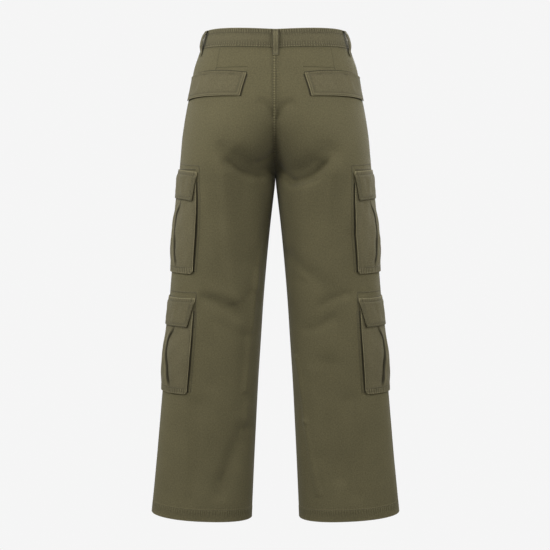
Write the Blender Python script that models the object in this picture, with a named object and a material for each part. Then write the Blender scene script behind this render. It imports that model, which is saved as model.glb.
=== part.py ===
"""Wide-leg cargo trousers, standing open in the shape they take when worn.

Frame: metres, +Z up. The front faces -Y and the wearer's left is +X. The origin is
the centre of the waist opening, inside the waistband a little above its middle, where
a wearer's waist holds the garment. Every cloth piece is a wall whose points come from place(), which
gives a point of the garment's outer form at a height and a turn round the body, moved
outwards by a lift.
"""

import math
from dataclasses import dataclass

import bmesh
import bpy
from mathutils import Matrix, Vector

# ---------------------------------------------------------------- driving dimensions
SEAM_GAP = 0.0003          # space kept between two cut pieces where they are sewn
CLOTH = 0.0015             # wall of a single layer of heavy twill
DOUBLE_CLOTH = 0.0026      # wall of a folded piece: waistband and turned hem
RESTING_GAP = 0.0007       # space under a piece that lies on a panel
ROUNDNESS = 2.15           # exponent of the superellipse rings, 2 is an ellipse

BAND_TOP = 0.0142
BAND_BOTTOM = -0.0240
BAND_PROUD = 0.0006        # the doubled waistband stands this far off the panels
BACK_RISE = 0.0040         # the waist edge rises between the side and the back seam
FRONT_DIP = 0.010          # the waist edge is lower at the front centre
WAIST_FADE = 0.12          # height over which that curve dies out below the band

RISE_TOP = -0.115          # above this height a ring is one oval
CROTCH = -0.285            # at this height it has parted into two legs
PARTING_START = 1.4        # how gently the parting begins
PARTING_END = 1.5          # and how gently it runs into the crotch

HEM = -1.0473              # mean height of the hem
HEM_TILT = 0.0062          # the outer hem corner is this much higher, the inner lower
HEM_FADE = 0.24
HEM_DEPTH = 0.026          # height of the turned-up hem
HEM_STEP = 0.0008          # height in which the wall thickens at the top of the hem

LEFT, RIGHT = 1, -1        # the wearer's sides, +X and -X
BACK, FRONT = 1, -1        # +Y and -Y
SIDE_NAME = {LEFT: "left", RIGHT: "right"}
FACE_NAME = {BACK: "back", FRONT: "front"}

SIDE_SEAM_TURN = 1e-9      # a turn that is just on a panel's own side of the seam
ARC_STEP = math.radians(1.0)
SOFT_ANGLE = 40.0          # folds in cloth sharper than this stay crisp, in degrees
HARD_ANGLE = 30.0

PANEL_COLUMNS = 12
PANEL_ROWS = (
    -0.030, -0.042, -0.065, -0.095, -0.125, -0.155, -0.185, -0.210, -0.232, -0.250,
    -0.265, -0.277, CROTCH, -0.300, -0.325, -0.360, -0.400, -0.445, -0.490, -0.535,
    -0.580, -0.625, -0.670, -0.720, -0.775, -0.830, -0.885, -0.940, -0.985,
)


@dataclass(frozen=True)
class Section:
    """One horizontal ring of the garment: half widths and depths from the centre."""

    z: float
    side: float            # outer half width
    inner: float           # inner edge of the leg, zero above the crotch
    back: float
    front: float


SECTIONS = (
    Section(z=0.030, side=0.1490, inner=0.0000, back=0.1035, front=0.1000),
    Section(z=0.000, side=0.1550, inner=0.0000, back=0.1075, front=0.1020),
    Section(z=-0.030, side=0.1640, inner=0.0000, back=0.1140, front=0.1050),
    Section(z=-0.065, side=0.1758, inner=0.0000, back=0.1265, front=0.1105),
    Section(z=-0.110, side=0.1838, inner=0.0000, back=0.1400, front=0.1160),
    Section(z=-0.160, side=0.1940, inner=0.0000, back=0.1440, front=0.1190),
    Section(z=-0.210, side=0.2020, inner=0.0000, back=0.1425, front=0.1195),
    Section(z=-0.250, side=0.2058, inner=0.0000, back=0.1385, front=0.1190),
    Section(z=CROTCH, side=0.2090, inner=0.0000, back=0.1330, front=0.1175),
    Section(z=-0.309, side=0.2112, inner=0.0012, back=0.1285, front=0.1160),
    Section(z=-0.348, side=0.2138, inner=0.0056, back=0.1210, front=0.1130),
    Section(z=-0.401, side=0.2180, inner=0.0118, back=0.1130, front=0.1085),
    Section(z=-0.480, side=0.2250, inner=0.0196, back=0.1040, front=0.1020),
    Section(z=-0.568, side=0.2324, inner=0.0270, back=0.0960, front=0.0950),
    Section(z=-0.657, side=0.2394, inner=0.0328, back=0.0895, front=0.0885),
    Section(z=-0.746, side=0.2472, inner=0.0386, back=0.0845, front=0.0835),
    Section(z=-0.836, side=0.2552, inner=0.0433, back=0.0800, front=0.0790),
    Section(z=-0.926, side=0.2632, inner=0.0479, back=0.0760, front=0.0752),
    Section(z=-1.070, side=0.2775, inner=0.0545, back=0.0722, front=0.0720),
)


@dataclass(frozen=True)
class Fold:
    """A large soft fold: a line seen from the back or the front, its width, its height."""

    side: int
    face: int
    x0: float
    z0: float
    x1: float
    z1: float
    width: float
    height: float          # negative for a trough


FOLDS = (
    Fold(LEFT, BACK, 0.112, -0.241, 0.030, -0.286, 0.020, -0.0065),
    Fold(RIGHT, BACK, 0.118, -0.243, 0.036, -0.296, 0.021, -0.0065),
    Fold(LEFT, BACK, 0.070, -0.300, 0.058, -0.470, 0.026, -0.0040),
    Fold(RIGHT, BACK, 0.102, -0.290, 0.112, -0.440, 0.028, -0.0035),
    Fold(LEFT, BACK, 0.140, -0.560, 0.084, -0.592, 0.020, -0.0030),
    Fold(RIGHT, BACK, 0.034, -0.470, 0.086, -0.512, 0.020, -0.0030),
    Fold(LEFT, BACK, 0.066, -0.850, 0.112, -0.960, 0.024, -0.0035),
    Fold(RIGHT, BACK, 0.100, -0.700, 0.128, -0.940, 0.026, -0.0030),
    Fold(LEFT, FRONT, 0.020, -0.246, 0.100, -0.214, 0.020, -0.0050),
    Fold(RIGHT, FRONT, 0.022, -0.250, 0.108, -0.222, 0.021, -0.0050),
    Fold(LEFT, FRONT, 0.034, -0.290, 0.110, -0.300, 0.022, -0.0040),
    Fold(RIGHT, FRONT, 0.030, -0.286, 0.098, -0.304, 0.022, -0.0040),
    Fold(LEFT, FRONT, 0.078, -0.590, 0.158, -0.612, 0.022, -0.0035),
    Fold(RIGHT, FRONT, 0.070, -0.612, 0.150, -0.588, 0.022, -0.0035),
    Fold(LEFT, FRONT, 0.128, -0.700, 0.140, -0.930, 0.028, -0.0035),
    Fold(RIGHT, FRONT, 0.118, -0.680, 0.146, -0.900, 0.028, -0.0035),
)
FOLD_FADE = 0.10           # folds die out in this share of a panel next to its seams


# ---------------------------------------------------------------- the garment's form
def smooth(value):
    """Ease from 0 to 1 as value does, flat at both ends."""
    value = min(max(value, 0.0), 1.0)
    return value * value * (3.0 - 2.0 * value)


def section_at(z):
    """Side, inner, back and front of the ring at a height, on a smooth curve."""
    last = len(SECTIONS) - 2
    index = next((i for i in range(last) if SECTIONS[i + 1].z <= z), last)
    upper, lower = SECTIONS[index], SECTIONS[index + 1]
    before = SECTIONS[max(index - 1, 0)]
    after = SECTIONS[min(index + 2, len(SECTIONS) - 1)]
    step = lower.z - upper.z
    share = (z - upper.z) / step
    values = []
    for field in ("side", "inner", "back", "front"):
        start, end = getattr(upper, field), getattr(lower, field)
        first = getattr(before, field)
        final = getattr(after, field)
        leave = (end - first) / (lower.z - before.z) * step
        arrive = (final - start) / (after.z - upper.z) * step
        values.append(
            start
            + leave * share
            + (3 * (end - start) - 2 * leave - arrive) * share**2
            + (leave + arrive - 2 * (end - start)) * share**3
        )
    return values


def parting(z):
    """How far a ring has parted into two legs: 0 at the seat, 1 from the crotch down."""
    share = min(max((RISE_TOP - z) / (RISE_TOP - CROTCH), 0.0), 1.0)
    return 1.0 - (1.0 - share**PARTING_START) ** PARTING_END


def ring_at(z):
    """Centre, half width, back and front depth of one leg's ring, and its last turn."""
    side, inner, back, front = section_at(z)
    part = parting(z)
    if z <= CROTCH:
        half = (side - max(inner, 0.0)) / 2
        return side - half, half, back, front, math.pi
    half = side / (1.0 + part)
    last_turn = math.pi - math.acos(part ** (ROUNDNESS / 2))
    return part * half, half, back, front, last_turn


def level_shift(z, turn):
    """How far the waist and hem curves move a point of the ring up or down."""
    waist = smooth((z - BAND_BOTTOM + WAIST_FADE) / WAIST_FADE)
    if turn > 0:
        rise = BACK_RISE * math.sin(2 * min(turn, math.pi / 2))
    else:
        rise = -FRONT_DIP * math.sin(turn) ** 2
    hem = smooth((HEM + HEM_FADE - z) / HEM_FADE)
    return rise * waist + HEM_TILT * math.cos(turn) * hem


def fold_lift(side, face, x, z, share):
    """The folds' height at a point of a panel, share being its place across it."""
    fade = smooth(min(share, 1.0 - share) / FOLD_FADE)
    total = 0.0
    for fold in FOLDS:
        if (fold.side, fold.face) != (side, face):
            continue
        along_x, along_z = fold.x1 - fold.x0, fold.z1 - fold.z0
        length = math.hypot(along_x, along_z)
        along = ((x - fold.x0) * along_x + (z - fold.z0) * along_z) / length
        aside = ((x - fold.x0) * along_z - (z - fold.z0) * along_x) / length
        beyond = max(-along, along - length, 0.0)
        total += fold.height * math.exp(-(aside**2 + beyond**2) / fold.width**2)
    return total * fade


def place(side, turn, z, lift=0.0, seam=SEAM_GAP / 2):
    """A point of the garment's outer form, moved out by lift.

    turn is 0 at the side seam, positive towards the back and negative to the front.
    """
    centre, half, back, front, last_turn = ring_at(z)
    face = BACK if turn >= 0 else FRONT
    depth = back if face == BACK else front
    cosine, sine = math.cos(turn), abs(math.sin(turn))
    power = 2.0 / ROUNDNESS
    across = math.copysign(abs(cosine) ** power, cosine)
    out = sine**power
    normal_x = math.copysign(abs(cosine) ** (2.0 - power), cosine) / half
    normal_y = sine ** (2.0 - power) / depth
    length = math.hypot(normal_x, normal_y)
    x = centre + half * across
    lift += fold_lift(side, face, x, z, abs(turn) / last_turn)
    x += seam + lift * normal_x / length
    y = out * depth + seam + lift * normal_y / length
    return Vector((side * x, face * y, z + level_shift(z, turn)))


def turn_at_arc(z, arc):
    """The turn at a distance round the ring from the side seam."""
    face = BACK if arc >= 0 else FRONT
    turn, left = 0.0, abs(arc)
    start = place(LEFT, 0.0, z)
    while left > 0:
        end = place(LEFT, face * (turn + ARC_STEP), z)
        length = (end - start).length
        if length >= left:
            return face * (turn + ARC_STEP * left / length)
        left -= length
        turn += ARC_STEP
        start = end
    return face * turn


def turn_at_x(z, x, face):
    """The turn at which the ring is x from the centre plane."""
    centre, half, _back, _front, _last = ring_at(z)
    across = min(max((x - centre) / half, -1.0), 1.0)
    return face * math.acos(math.copysign(abs(across) ** (ROUNDNESS / 2), across))


# ---------------------------------------------------------------- solids from grids
def add_material(name, colour, roughness):
    """A plain finish that looks the part."""
    material = bpy.data.materials.new(name)
    material.use_nodes = True
    shader = material.node_tree.nodes["Principled BSDF"]
    shader.inputs["Base Color"].default_value = (*colour, 1.0)
    shader.inputs["Roughness"].default_value = roughness
    shader.inputs["Metallic"].default_value = 0.0
    material.diffuse_color = (*colour, 1.0)
    return material


def finish(name, bm, material, smooth_angle=SOFT_ANGLE):
    """Turn a bmesh into a named object whose faces point outwards."""
    if bm.calc_volume(signed=True) < 0:
        bmesh.ops.reverse_faces(bm, faces=bm.faces)
    mesh = bpy.data.meshes.new(name)
    bm.to_mesh(mesh)
    bm.free()
    mesh.shade_smooth()
    mesh.set_sharp_from_angle(angle=math.radians(smooth_angle))
    mesh.materials.append(material)
    piece = bpy.data.objects.new(name, mesh)
    bpy.context.collection.objects.link(piece)
    return piece


def wall(name, outer, inner, material):
    """A closed wall between two matching grids of points, with a rim all round."""
    bm = bmesh.new()
    skins = [[[bm.verts.new(point) for point in row] for row in grid] for grid in (outer, inner)]
    rows, columns = len(outer), len(outer[0])
    for skin, flip in zip(skins, (False, True)):
        for i in range(rows - 1):
            for j in range(columns - 1):
                a, b = skin[i][j], skin[i][j + 1]
                c, d = skin[i + 1][j + 1], skin[i + 1][j]
                for corners in ((a, b, c), (a, c, d)):
                    bm.faces.new(corners[::-1] if flip else corners)
    edge = [(0, j) for j in range(columns)]
    edge += [(i, columns - 1) for i in range(1, rows)]
    edge += [(rows - 1, j) for j in range(columns - 2, -1, -1)]
    edge += [(i, 0) for i in range(rows - 2, 0, -1)]
    top, under = skins
    for (i, j), (k, m) in zip(edge, edge[1:] + edge[:1]):
        bm.faces.new((top[k][m], top[i][j], under[i][j]))
        bm.faces.new((top[k][m], under[i][j], under[k][m]))
    return finish(name, bm, material)


def spread(start, end, count):
    """count values from start to end."""
    return [start + (end - start) * i / (count - 1) for i in range(count)]


# ---------------------------------------------------------------- panels and waistband
def build_panel(side, face, material):
    """One of the four leg panels, from the waistband to the hem, open at both ends."""
    top = BAND_BOTTOM - SEAM_GAP
    hem_top = HEM + HEM_DEPTH
    hem_rows = (hem_top, hem_top - HEM_STEP, HEM + HEM_DEPTH / 2, HEM)
    rows = (top,) + PANEL_ROWS + hem_rows
    outer, inner = [], []
    for z in rows:
        thick = DOUBLE_CLOTH if z < hem_top else CLOTH
        last_turn = ring_at(z)[4]
        turns = spread(SIDE_SEAM_TURN, last_turn, PANEL_COLUMNS + 1)
        outer.append([place(side, face * turn, z) for turn in turns])
        inner.append([place(side, face * turn, z, -thick) for turn in turns])
    wall(f"{FACE_NAME[face]}_panel_{SIDE_NAME[side]}", outer, inner, material)


BAND_MIDDLE = (BAND_TOP + BAND_BOTTOM) / 2
BAND_TURNS = 22            # steps round a quarter and more of the waist on each side
LAP = 0.020                # each end of the waistband runs this far past the centre
LAP_EASE = 0.018           # length in which the under end steps inwards
LAP_STEP = DOUBLE_CLOTH + 0.0005


def band_station(x, step=0.0):
    """Side, turn and lift of the waistband x to the wearer's left of the front centre."""
    side = LEFT if x >= 0 else RIGHT
    return side, turn_at_x(BAND_MIDDLE, abs(x), FRONT), BAND_PROUD - step


def build_waistband(material):
    """The folded waistband: one strip round the waist, its ends lapped at the front."""
    stations = [band_station(x, LAP_STEP) for x in (LAP, LAP / 2, 0.0, -LAP / 2, -LAP)]
    stations.append(band_station(-LAP - LAP_EASE))
    start = turn_at_x(BAND_MIDDLE, LAP + 2 * LAP_EASE, FRONT)
    back = math.pi / 2
    stations += [(RIGHT, turn, BAND_PROUD) for turn in spread(start, back, BAND_TURNS)]
    stations += [(LEFT, turn, BAND_PROUD) for turn in spread(back, start, BAND_TURNS)[1:]]
    stations += [band_station(x) for x in (LAP + LAP_EASE, LAP, LAP / 2, 0.0, -LAP / 2, -LAP)]
    outer, inner = [], []
    for z in (BAND_TOP, BAND_MIDDLE, BAND_BOTTOM):
        outer.append([place(s, turn, z, lift, seam=0.0) for s, turn, lift in stations])
        inner.append([place(s, t, z, lift - DOUBLE_CLOTH, seam=0.0) for s, t, lift in stations])
    wall("waistband", outer, inner, material)


# ---------------------------------------------------------------- belt loops, button
@dataclass(frozen=True)
class LoopBow:
    """How far a belt loop's inner side stands off the garment at a height."""

    z: float
    gap: float


LOOP_BOWS = (
    LoopBow(z=0.0135, gap=0.0011),
    LoopBow(z=0.0100, gap=0.0030),
    LoopBow(z=0.0045, gap=0.0062),
    LoopBow(z=-0.0025, gap=0.0074),
    LoopBow(z=-0.0115, gap=0.0074),
    LoopBow(z=-0.0195, gap=0.0062),
    LoopBow(z=-0.0265, gap=0.0030),
    LoopBow(z=-0.0315, gap=RESTING_GAP),
    LoopBow(z=-0.0410, gap=RESTING_GAP),
)
LOOP_WIDTH = 0.014
LOOP_CLOTH = 0.0014


@dataclass(frozen=True)
class LoopPlace:
    """Where a belt loop sits: its name, side and distance from the side seam."""

    name: str
    side: int
    arc: float


LOOPS = (
    LoopPlace("belt_loop_side_left", LEFT, 0.036),
    LoopPlace("belt_loop_side_right", RIGHT, 0.036),
    LoopPlace("belt_loop_front_left", LEFT, -0.142),
    LoopPlace("belt_loop_front_right", RIGHT, -0.142),
)


def loop_points(side, turns, z, lift):
    """One row of a belt loop: flat across, square to the waist at its middle."""
    middle = place(side, turns[1], z, lift, seam=0.0)
    ahead = place(side, turns[2], z, 0.0, seam=0.0) - place(side, turns[0], z, 0.0, seam=0.0)
    ahead.z = 0.0
    across = ahead.normalized() * (LOOP_WIDTH / 2)
    return [middle - across, middle, middle + across]


def build_loop(name, side, turns, material):
    """A belt loop, sewn to the waistband's top and to the panel under the band."""
    outer = [loop_points(side, turns, bow.z, bow.gap + LOOP_CLOTH) for bow in LOOP_BOWS]
    inner = [loop_points(side, turns, bow.z, bow.gap) for bow in LOOP_BOWS]
    wall(name, outer, inner, material)


def build_loops(material):
    """All five belt loops, one of them over the centre back seam."""
    half = LOOP_WIDTH / 2
    for loop in LOOPS:
        turns = [turn_at_arc(0.0, loop.arc + aside) for aside in (-half, 0.0, half)]
        build_loop(loop.name, loop.side, turns, material)
    back = math.pi / 2
    build_loop("belt_loop_back", LEFT, (back - ARC_STEP, back, back + ARC_STEP), material)


BUTTON_RADIUS = 0.0085
BUTTON_THICKNESS = 0.0030
BUTTON_SIDES = 20


@dataclass(frozen=True)
class ButtonEdge:
    """A point of the button's turned profile, in shares of its radius and thickness."""

    radius: float
    height: float


BUTTON_PROFILE = (
    ButtonEdge(radius=0.00, height=0.00),
    ButtonEdge(radius=0.72, height=0.00),
    ButtonEdge(radius=1.00, height=0.35),
    ButtonEdge(radius=1.00, height=0.75),
    ButtonEdge(radius=0.88, height=1.00),
    ButtonEdge(radius=0.66, height=0.72),
    ButtonEdge(radius=0.00, height=0.66),
)


def build_button(material):
    """The waist button, a turned disc with a raised rim and a sunken middle."""
    profile = [(BUTTON_RADIUS * e.radius, BUTTON_THICKNESS * e.height) for e in BUTTON_PROFILE]
    bm = bmesh.new()
    verts = [bm.verts.new((radius, 0.0, height)) for radius, height in profile]
    edges = [bm.edges.new(pair) for pair in zip(verts, verts[1:])]
    bmesh.ops.spin(
        bm, geom=verts + edges, cent=(0, 0, 0), axis=(0, 0, 1),
        angle=2 * math.pi, steps=BUTTON_SIDES, use_merge=True,
    )
    bmesh.ops.remove_doubles(bm, verts=bm.verts, dist=1e-6)
    bmesh.ops.recalc_face_normals(bm, faces=bm.faces)
    lift = BAND_PROUD + RESTING_GAP
    seat = place(LEFT, -math.pi / 2, BAND_MIDDLE, lift, seam=0.0)
    above = place(LEFT, -math.pi / 2, BAND_MIDDLE + BUTTON_RADIUS, lift, seam=0.0)
    lean = math.atan2(above.y - seat.y, above.z - seat.z)
    facing = Matrix.Translation(seat) @ Matrix.Rotation(math.pi / 2 - lean, 4, "X")
    bmesh.ops.transform(bm, matrix=facing, verts=bm.verts)
    finish("waist_button", bm, material, HARD_ANGLE)


# ---------------------------------------------------------------- back pocket flaps
@dataclass(frozen=True)
class FlapEdge:
    """A flap's edge from its inner end to its outer end, at one height on the flap."""

    share: float           # 0 at the top edge, 1 at the free edge
    inner_x: float         # distance of the inner end from the centre plane
    outer_arc: float       # distance of the outer end from the side seam
    inner_z: float
    middle_z: float
    outer_z: float
    lift: float


FLAP_CLOTH = 0.0020
BACK_FLAP = (
    FlapEdge(0.00, 0.0605, 0.024, -0.0790, -0.0755, -0.0840, 0.0000),
    FlapEdge(0.18, 0.0630, 0.023, -0.0875, -0.0845, -0.0930, 0.0002),
    FlapEdge(0.55, 0.0685, 0.021, -0.1045, -0.1035, -0.1115, 0.0008),
    FlapEdge(0.92, 0.0735, 0.018, -0.1225, -0.1225, -0.1300, 0.0018),
    FlapEdge(1.00, 0.0745, 0.020, -0.1262, -0.1265, -0.1338, 0.0020),
)
FLAP_COLUMNS = 12
FLAP_END_LIFT = 0.4        # the flap's ends stand off by this share of its middle's lift


def build_back_flap(side, material):
    """The flap over a back pocket, from near the seat seam to near the side seam."""
    outer, inner = [], []
    for edge in BACK_FLAP:
        skins = ([], [])
        for share in spread(0.0, 1.0, FLAP_COLUMNS):
            bend = 4 * share * (1 - share)
            z = edge.inner_z + share * (edge.outer_z - edge.inner_z)
            z += bend * (edge.middle_z - (edge.inner_z + edge.outer_z) / 2)
            start = turn_at_x(z, edge.inner_x, BACK)
            turn = start + share * (turn_at_arc(z, edge.outer_arc) - start)
            lift = RESTING_GAP + edge.lift * (FLAP_END_LIFT + (1 - FLAP_END_LIFT) * bend)
            skins[0].append(place(side, turn, z, lift + FLAP_CLOTH))
            skins[1].append(place(side, turn, z, lift))
        outer.append(skins[0])
        inner.append(skins[1])
    wall(f"back_flap_{SIDE_NAME[side]}", outer, inner, material)


# ---------------------------------------------------------------- front pocket edges
POCKET_EDGE_WIDTH = 0.009
POCKET_EDGE_CLOTH = 0.0012
POCKET_EDGE_TOP = -0.0235
POCKET_EDGE_DROP = 0.158   # from its upper to its lower end
POCKET_EDGE_ARC = -0.078   # its upper end's distance from the side seam
POCKET_EDGE_RUN = 0.066    # how far it comes back towards that seam
POCKET_EDGE_CURVE = 1.15
POCKET_EDGE_COLUMNS = 14


def build_front_pocket_edge(side, material):
    """The folded edge of a slanted front pocket, from the waistband to the side seam."""
    outer, inner = [], []
    for offset in (0.0, POCKET_EDGE_WIDTH):
        skins = ([], [])
        for share in spread(0.0, 1.0, POCKET_EDGE_COLUMNS):
            z = POCKET_EDGE_TOP - POCKET_EDGE_DROP * share
            arc = POCKET_EDGE_ARC + POCKET_EDGE_RUN * share**POCKET_EDGE_CURVE - offset
            turn = turn_at_arc(z, arc)
            skins[0].append(place(side, turn, z, RESTING_GAP + POCKET_EDGE_CLOTH))
            skins[1].append(place(side, turn, z, RESTING_GAP))
        outer.append(skins[0])
        inner.append(skins[1])
    wall(f"front_pocket_edge_{SIDE_NAME[side]}", outer, inner, material)


# ---------------------------------------------------------------- cargo pockets
@dataclass(frozen=True)
class CargoPlace:
    """Where a cargo pocket sits on the leg, and how far it reaches round it."""

    name: str
    side: int
    flap_top: float        # height of the flap's top edge
    body_top: float
    body_bottom: float
    back_arc: float        # from the side seam to the pocket's back edge at its mouth
    front_arc: float       # to its front edge, negative
    lean: float            # both edges move this far to the front on the way down
    droop: float           # the flap's ends hang this much lower than its middle

    @property
    def middle(self):
        """Distance of the pocket's middle from the side seam, at its mouth."""
        return (self.back_arc + self.front_arc) / 2

    @property
    def reach(self):
        """Half the pocket's width."""
        return (self.back_arc - self.front_arc) / 2


CARGO_POCKETS = (
    CargoPlace(
        "upper_left", LEFT, -0.2810, -0.2975, -0.5030, 0.1225, -0.0820, 0.0120, 0.0040
    ),
    CargoPlace(
        "upper_right", RIGHT, -0.2815, -0.2980, -0.5030, 0.1215, -0.0820, 0.0115, 0.0025
    ),
    CargoPlace(
        "lower_left", LEFT, -0.5570, -0.5735, -0.7655, 0.1120, -0.0810, 0.0090, -0.0015
    ),
    CargoPlace(
        "lower_right", RIGHT, -0.5570, -0.5735, -0.7655, 0.1060, -0.0810, 0.0065, -0.0015
    ),
)


@dataclass(frozen=True)
class PocketRow:
    """A cargo pocket's outer side at one height: lifts across it and its pleats."""

    share: float           # 0 at the pocket mouth, 1 at its lower edge
    edge: float            # lift at the pocket's side edges
    lip: float             # lift beside a pleat
    groove: float          # lift in the bottom of a pleat
    centre: float          # lift of the panel between the pleats
    pleat: float           # distance of each pleat from the pocket's middle


POCKET_ROWS = (
    PocketRow(0.00, 0.0024, 0.0024, 0.0024, 0.0025, 0.050),
    PocketRow(0.14, 0.0026, 0.0026, 0.0024, 0.0028, 0.050),
    PocketRow(0.27, 0.0034, 0.0031, 0.0023, 0.0034, 0.046),
    PocketRow(0.40, 0.0048, 0.0044, 0.0022, 0.0060, 0.030),
    PocketRow(0.53, 0.0058, 0.0056, 0.0022, 0.0080, 0.028),
    PocketRow(0.66, 0.0062, 0.0060, 0.0022, 0.0088, 0.037),
    PocketRow(0.80, 0.0058, 0.0052, 0.0022, 0.0070, 0.042),
    PocketRow(0.91, 0.0048, 0.0042, 0.0036, 0.0048, 0.048),
    PocketRow(0.97, 0.0042, 0.0040, 0.0039, 0.0042, 0.050),
    PocketRow(1.00, 0.0036, 0.0036, 0.0036, 0.0036, 0.051),
)
POCKET_CLOTH = 0.0012
PLEAT_WIDTH = 0.0030       # from a pleat's lip to its bottom
UNDERCUT = 0.0030          # the gusset turns in under the pocket's edge
CORNER_CUT = 0.0050        # the lower corners are clipped round
EDGE_CREST = 1.05          # the face stands this much prouder just inside its edge
CREST_SHARE = 0.70         # places between a pleat's lip and the pocket's edge
SHOULDER_SHARE = 0.35
CROWN_SHARES = (0.72, 0.36)   # places between the pocket's middle and a pleat


def pocket_half(row, reach):
    """Distance from the pocket's middle and lift of a row's columns, from its foot inwards."""
    lip = row.pleat + PLEAT_WIDTH
    return [
        (reach - UNDERCUT, RESTING_GAP),
        (reach, row.edge),
        (lip + CREST_SHARE * (reach - lip), row.edge * EDGE_CREST),
        (lip + SHOULDER_SHARE * (reach - lip), (row.edge + row.lip) / 2),
        (lip, row.lip),
        (row.pleat, row.groove),
        (row.pleat - PLEAT_WIDTH, (row.centre + row.lip) / 2),
        *((share * row.pleat, row.centre) for share in CROWN_SHARES),
    ]


def pocket_columns(row, pocket):
    """Arc and lift of each column of a pocket row, from its back foot to its front one."""
    clipped = CORNER_CUT if row.share == 1.0 else 0.0
    middle = pocket.middle - pocket.lean * row.share
    half = pocket_half(row, pocket.reach - clipped)
    back = [(middle + aside, lift) for aside, lift in half]
    front = [(middle - aside, lift) for aside, lift in half[::-1]]
    return back + [(middle, row.centre)] + front


def build_cargo_pocket(pocket, material):
    """A bellows pocket: a face over the side seam, gussets, a floor and an open mouth."""
    outer, inner = [], []
    height = pocket.body_bottom - pocket.body_top
    for number, row in enumerate(POCKET_ROWS + POCKET_ROWS[-1:]):
        on_floor = number == len(POCKET_ROWS)
        z = pocket.body_top + row.share * height + (UNDERCUT if on_floor else 0.0)
        under_z = z + (POCKET_CLOTH if row.share == 1.0 else 0.0)
        columns = pocket_columns(row, pocket)
        skins = ([], [])
        for index, (arc, lift) in enumerate(columns):
            rise = RESTING_GAP if on_floor else lift
            at_side = min(index, len(columns) - 1 - index) < 2
            under_arc = arc - (math.copysign(POCKET_CLOTH, arc) if at_side else 0.0)
            under = max(rise - POCKET_CLOTH, RESTING_GAP)
            skins[0].append(place(pocket.side, turn_at_arc(z, arc), z, rise))
            skins[1].append(place(pocket.side, turn_at_arc(under_z, under_arc), under_z, under))
        outer.append(skins[0])
        inner.append(skins[1])
    wall(f"cargo_pocket_{pocket.name}", outer, inner, material)


@dataclass(frozen=True)
class CargoFlapRow:
    """A cargo flap at one height: its drop below the top edge, side inset and lift."""

    drop: float
    inset: float           # how far each side edge is in from the pocket's edge
    lift: float            # lift of the flap's inner side


CARGO_FLAP_ROWS = (
    CargoFlapRow(0.0000, -0.0030, 0.0005),
    CargoFlapRow(0.0070, -0.0030, 0.0010),
    CargoFlapRow(0.0110, -0.0010, 0.0033),
    CargoFlapRow(0.0300, 0.0045, 0.0038),
    CargoFlapRow(0.0580, 0.0115, 0.0044),
    CargoFlapRow(0.0625, 0.0140, 0.0044),
)
CARGO_FLAP_CLOTH = 0.0018
CARGO_FLAP_COLUMNS = 14


def build_cargo_flap(pocket, material):
    """The flap that covers a cargo pocket's mouth, sewn to the leg above it."""
    outer, inner = [], []
    for row in CARGO_FLAP_ROWS:
        skins = ([], [])
        half = pocket.reach - row.inset
        for aside in spread(half, -half, CARGO_FLAP_COLUMNS):
            z = pocket.flap_top - row.drop - pocket.droop * (aside / pocket.reach) ** 2
            turn = turn_at_arc(z, pocket.middle + aside)
            skins[0].append(place(pocket.side, turn, z, row.lift + CARGO_FLAP_CLOTH))
            skins[1].append(place(pocket.side, turn, z, row.lift))
        outer.append(skins[0])
        inner.append(skins[1])
    wall(f"cargo_flap_{pocket.name}", outer, inner, material)


# ---------------------------------------------------------------- the whole garment
def main():
    """Clear the scene and build every piece."""
    for leftover in list(bpy.data.objects):
        bpy.data.objects.remove(leftover, do_unlink=True)
    twill = add_material("olive_twill", (0.122, 0.110, 0.062), 0.88)
    pocket_twill = add_material("olive_twill_pockets", (0.131, 0.118, 0.068), 0.88)
    band_twill = add_material("olive_twill_waistband", (0.140, 0.127, 0.077), 0.86)
    resin = add_material("olive_resin", (0.060, 0.055, 0.035), 0.35)
    for face in (BACK, FRONT):
        for side in (LEFT, RIGHT):
            build_panel(side, face, twill)
    build_waistband(band_twill)
    build_loops(band_twill)
    build_button(resin)
    for side in (LEFT, RIGHT):
        build_back_flap(side, pocket_twill)
        build_front_pocket_edge(side, twill)
    for pocket in CARGO_POCKETS:
        build_cargo_pocket(pocket, pocket_twill)
        build_cargo_flap(pocket, pocket_twill)


main()
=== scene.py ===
"""Wide-leg cargo trousers in olive twill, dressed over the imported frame.

Metres, +Z up, the front towards -Y and the wearer's left at +X. Every cloth piece is
a thin closed shell whose points come from Form.place(), the same rings and folds as
the solids, with finer creases, rolled edges, pleats and stitching added.
"""

import logging
import math
from collections.abc import Callable, Sequence
from dataclasses import astuple, dataclass, field
from enum import Enum
from functools import cache, partial

import bpy
import numpy as np
from mathutils import Matrix, Vector


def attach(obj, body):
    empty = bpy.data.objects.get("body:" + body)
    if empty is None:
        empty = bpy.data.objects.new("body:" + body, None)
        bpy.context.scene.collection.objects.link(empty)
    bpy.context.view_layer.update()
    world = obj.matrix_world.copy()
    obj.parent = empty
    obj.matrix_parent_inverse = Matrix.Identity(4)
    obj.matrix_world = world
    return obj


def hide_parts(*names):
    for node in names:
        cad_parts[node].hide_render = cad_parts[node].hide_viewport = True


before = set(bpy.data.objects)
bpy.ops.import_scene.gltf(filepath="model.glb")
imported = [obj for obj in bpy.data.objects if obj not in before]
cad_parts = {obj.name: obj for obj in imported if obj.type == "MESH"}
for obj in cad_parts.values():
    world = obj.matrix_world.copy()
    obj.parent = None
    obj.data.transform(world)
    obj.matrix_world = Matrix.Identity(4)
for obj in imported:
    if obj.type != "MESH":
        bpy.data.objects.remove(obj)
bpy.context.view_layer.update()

LOG = logging.getLogger("trousers")

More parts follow.
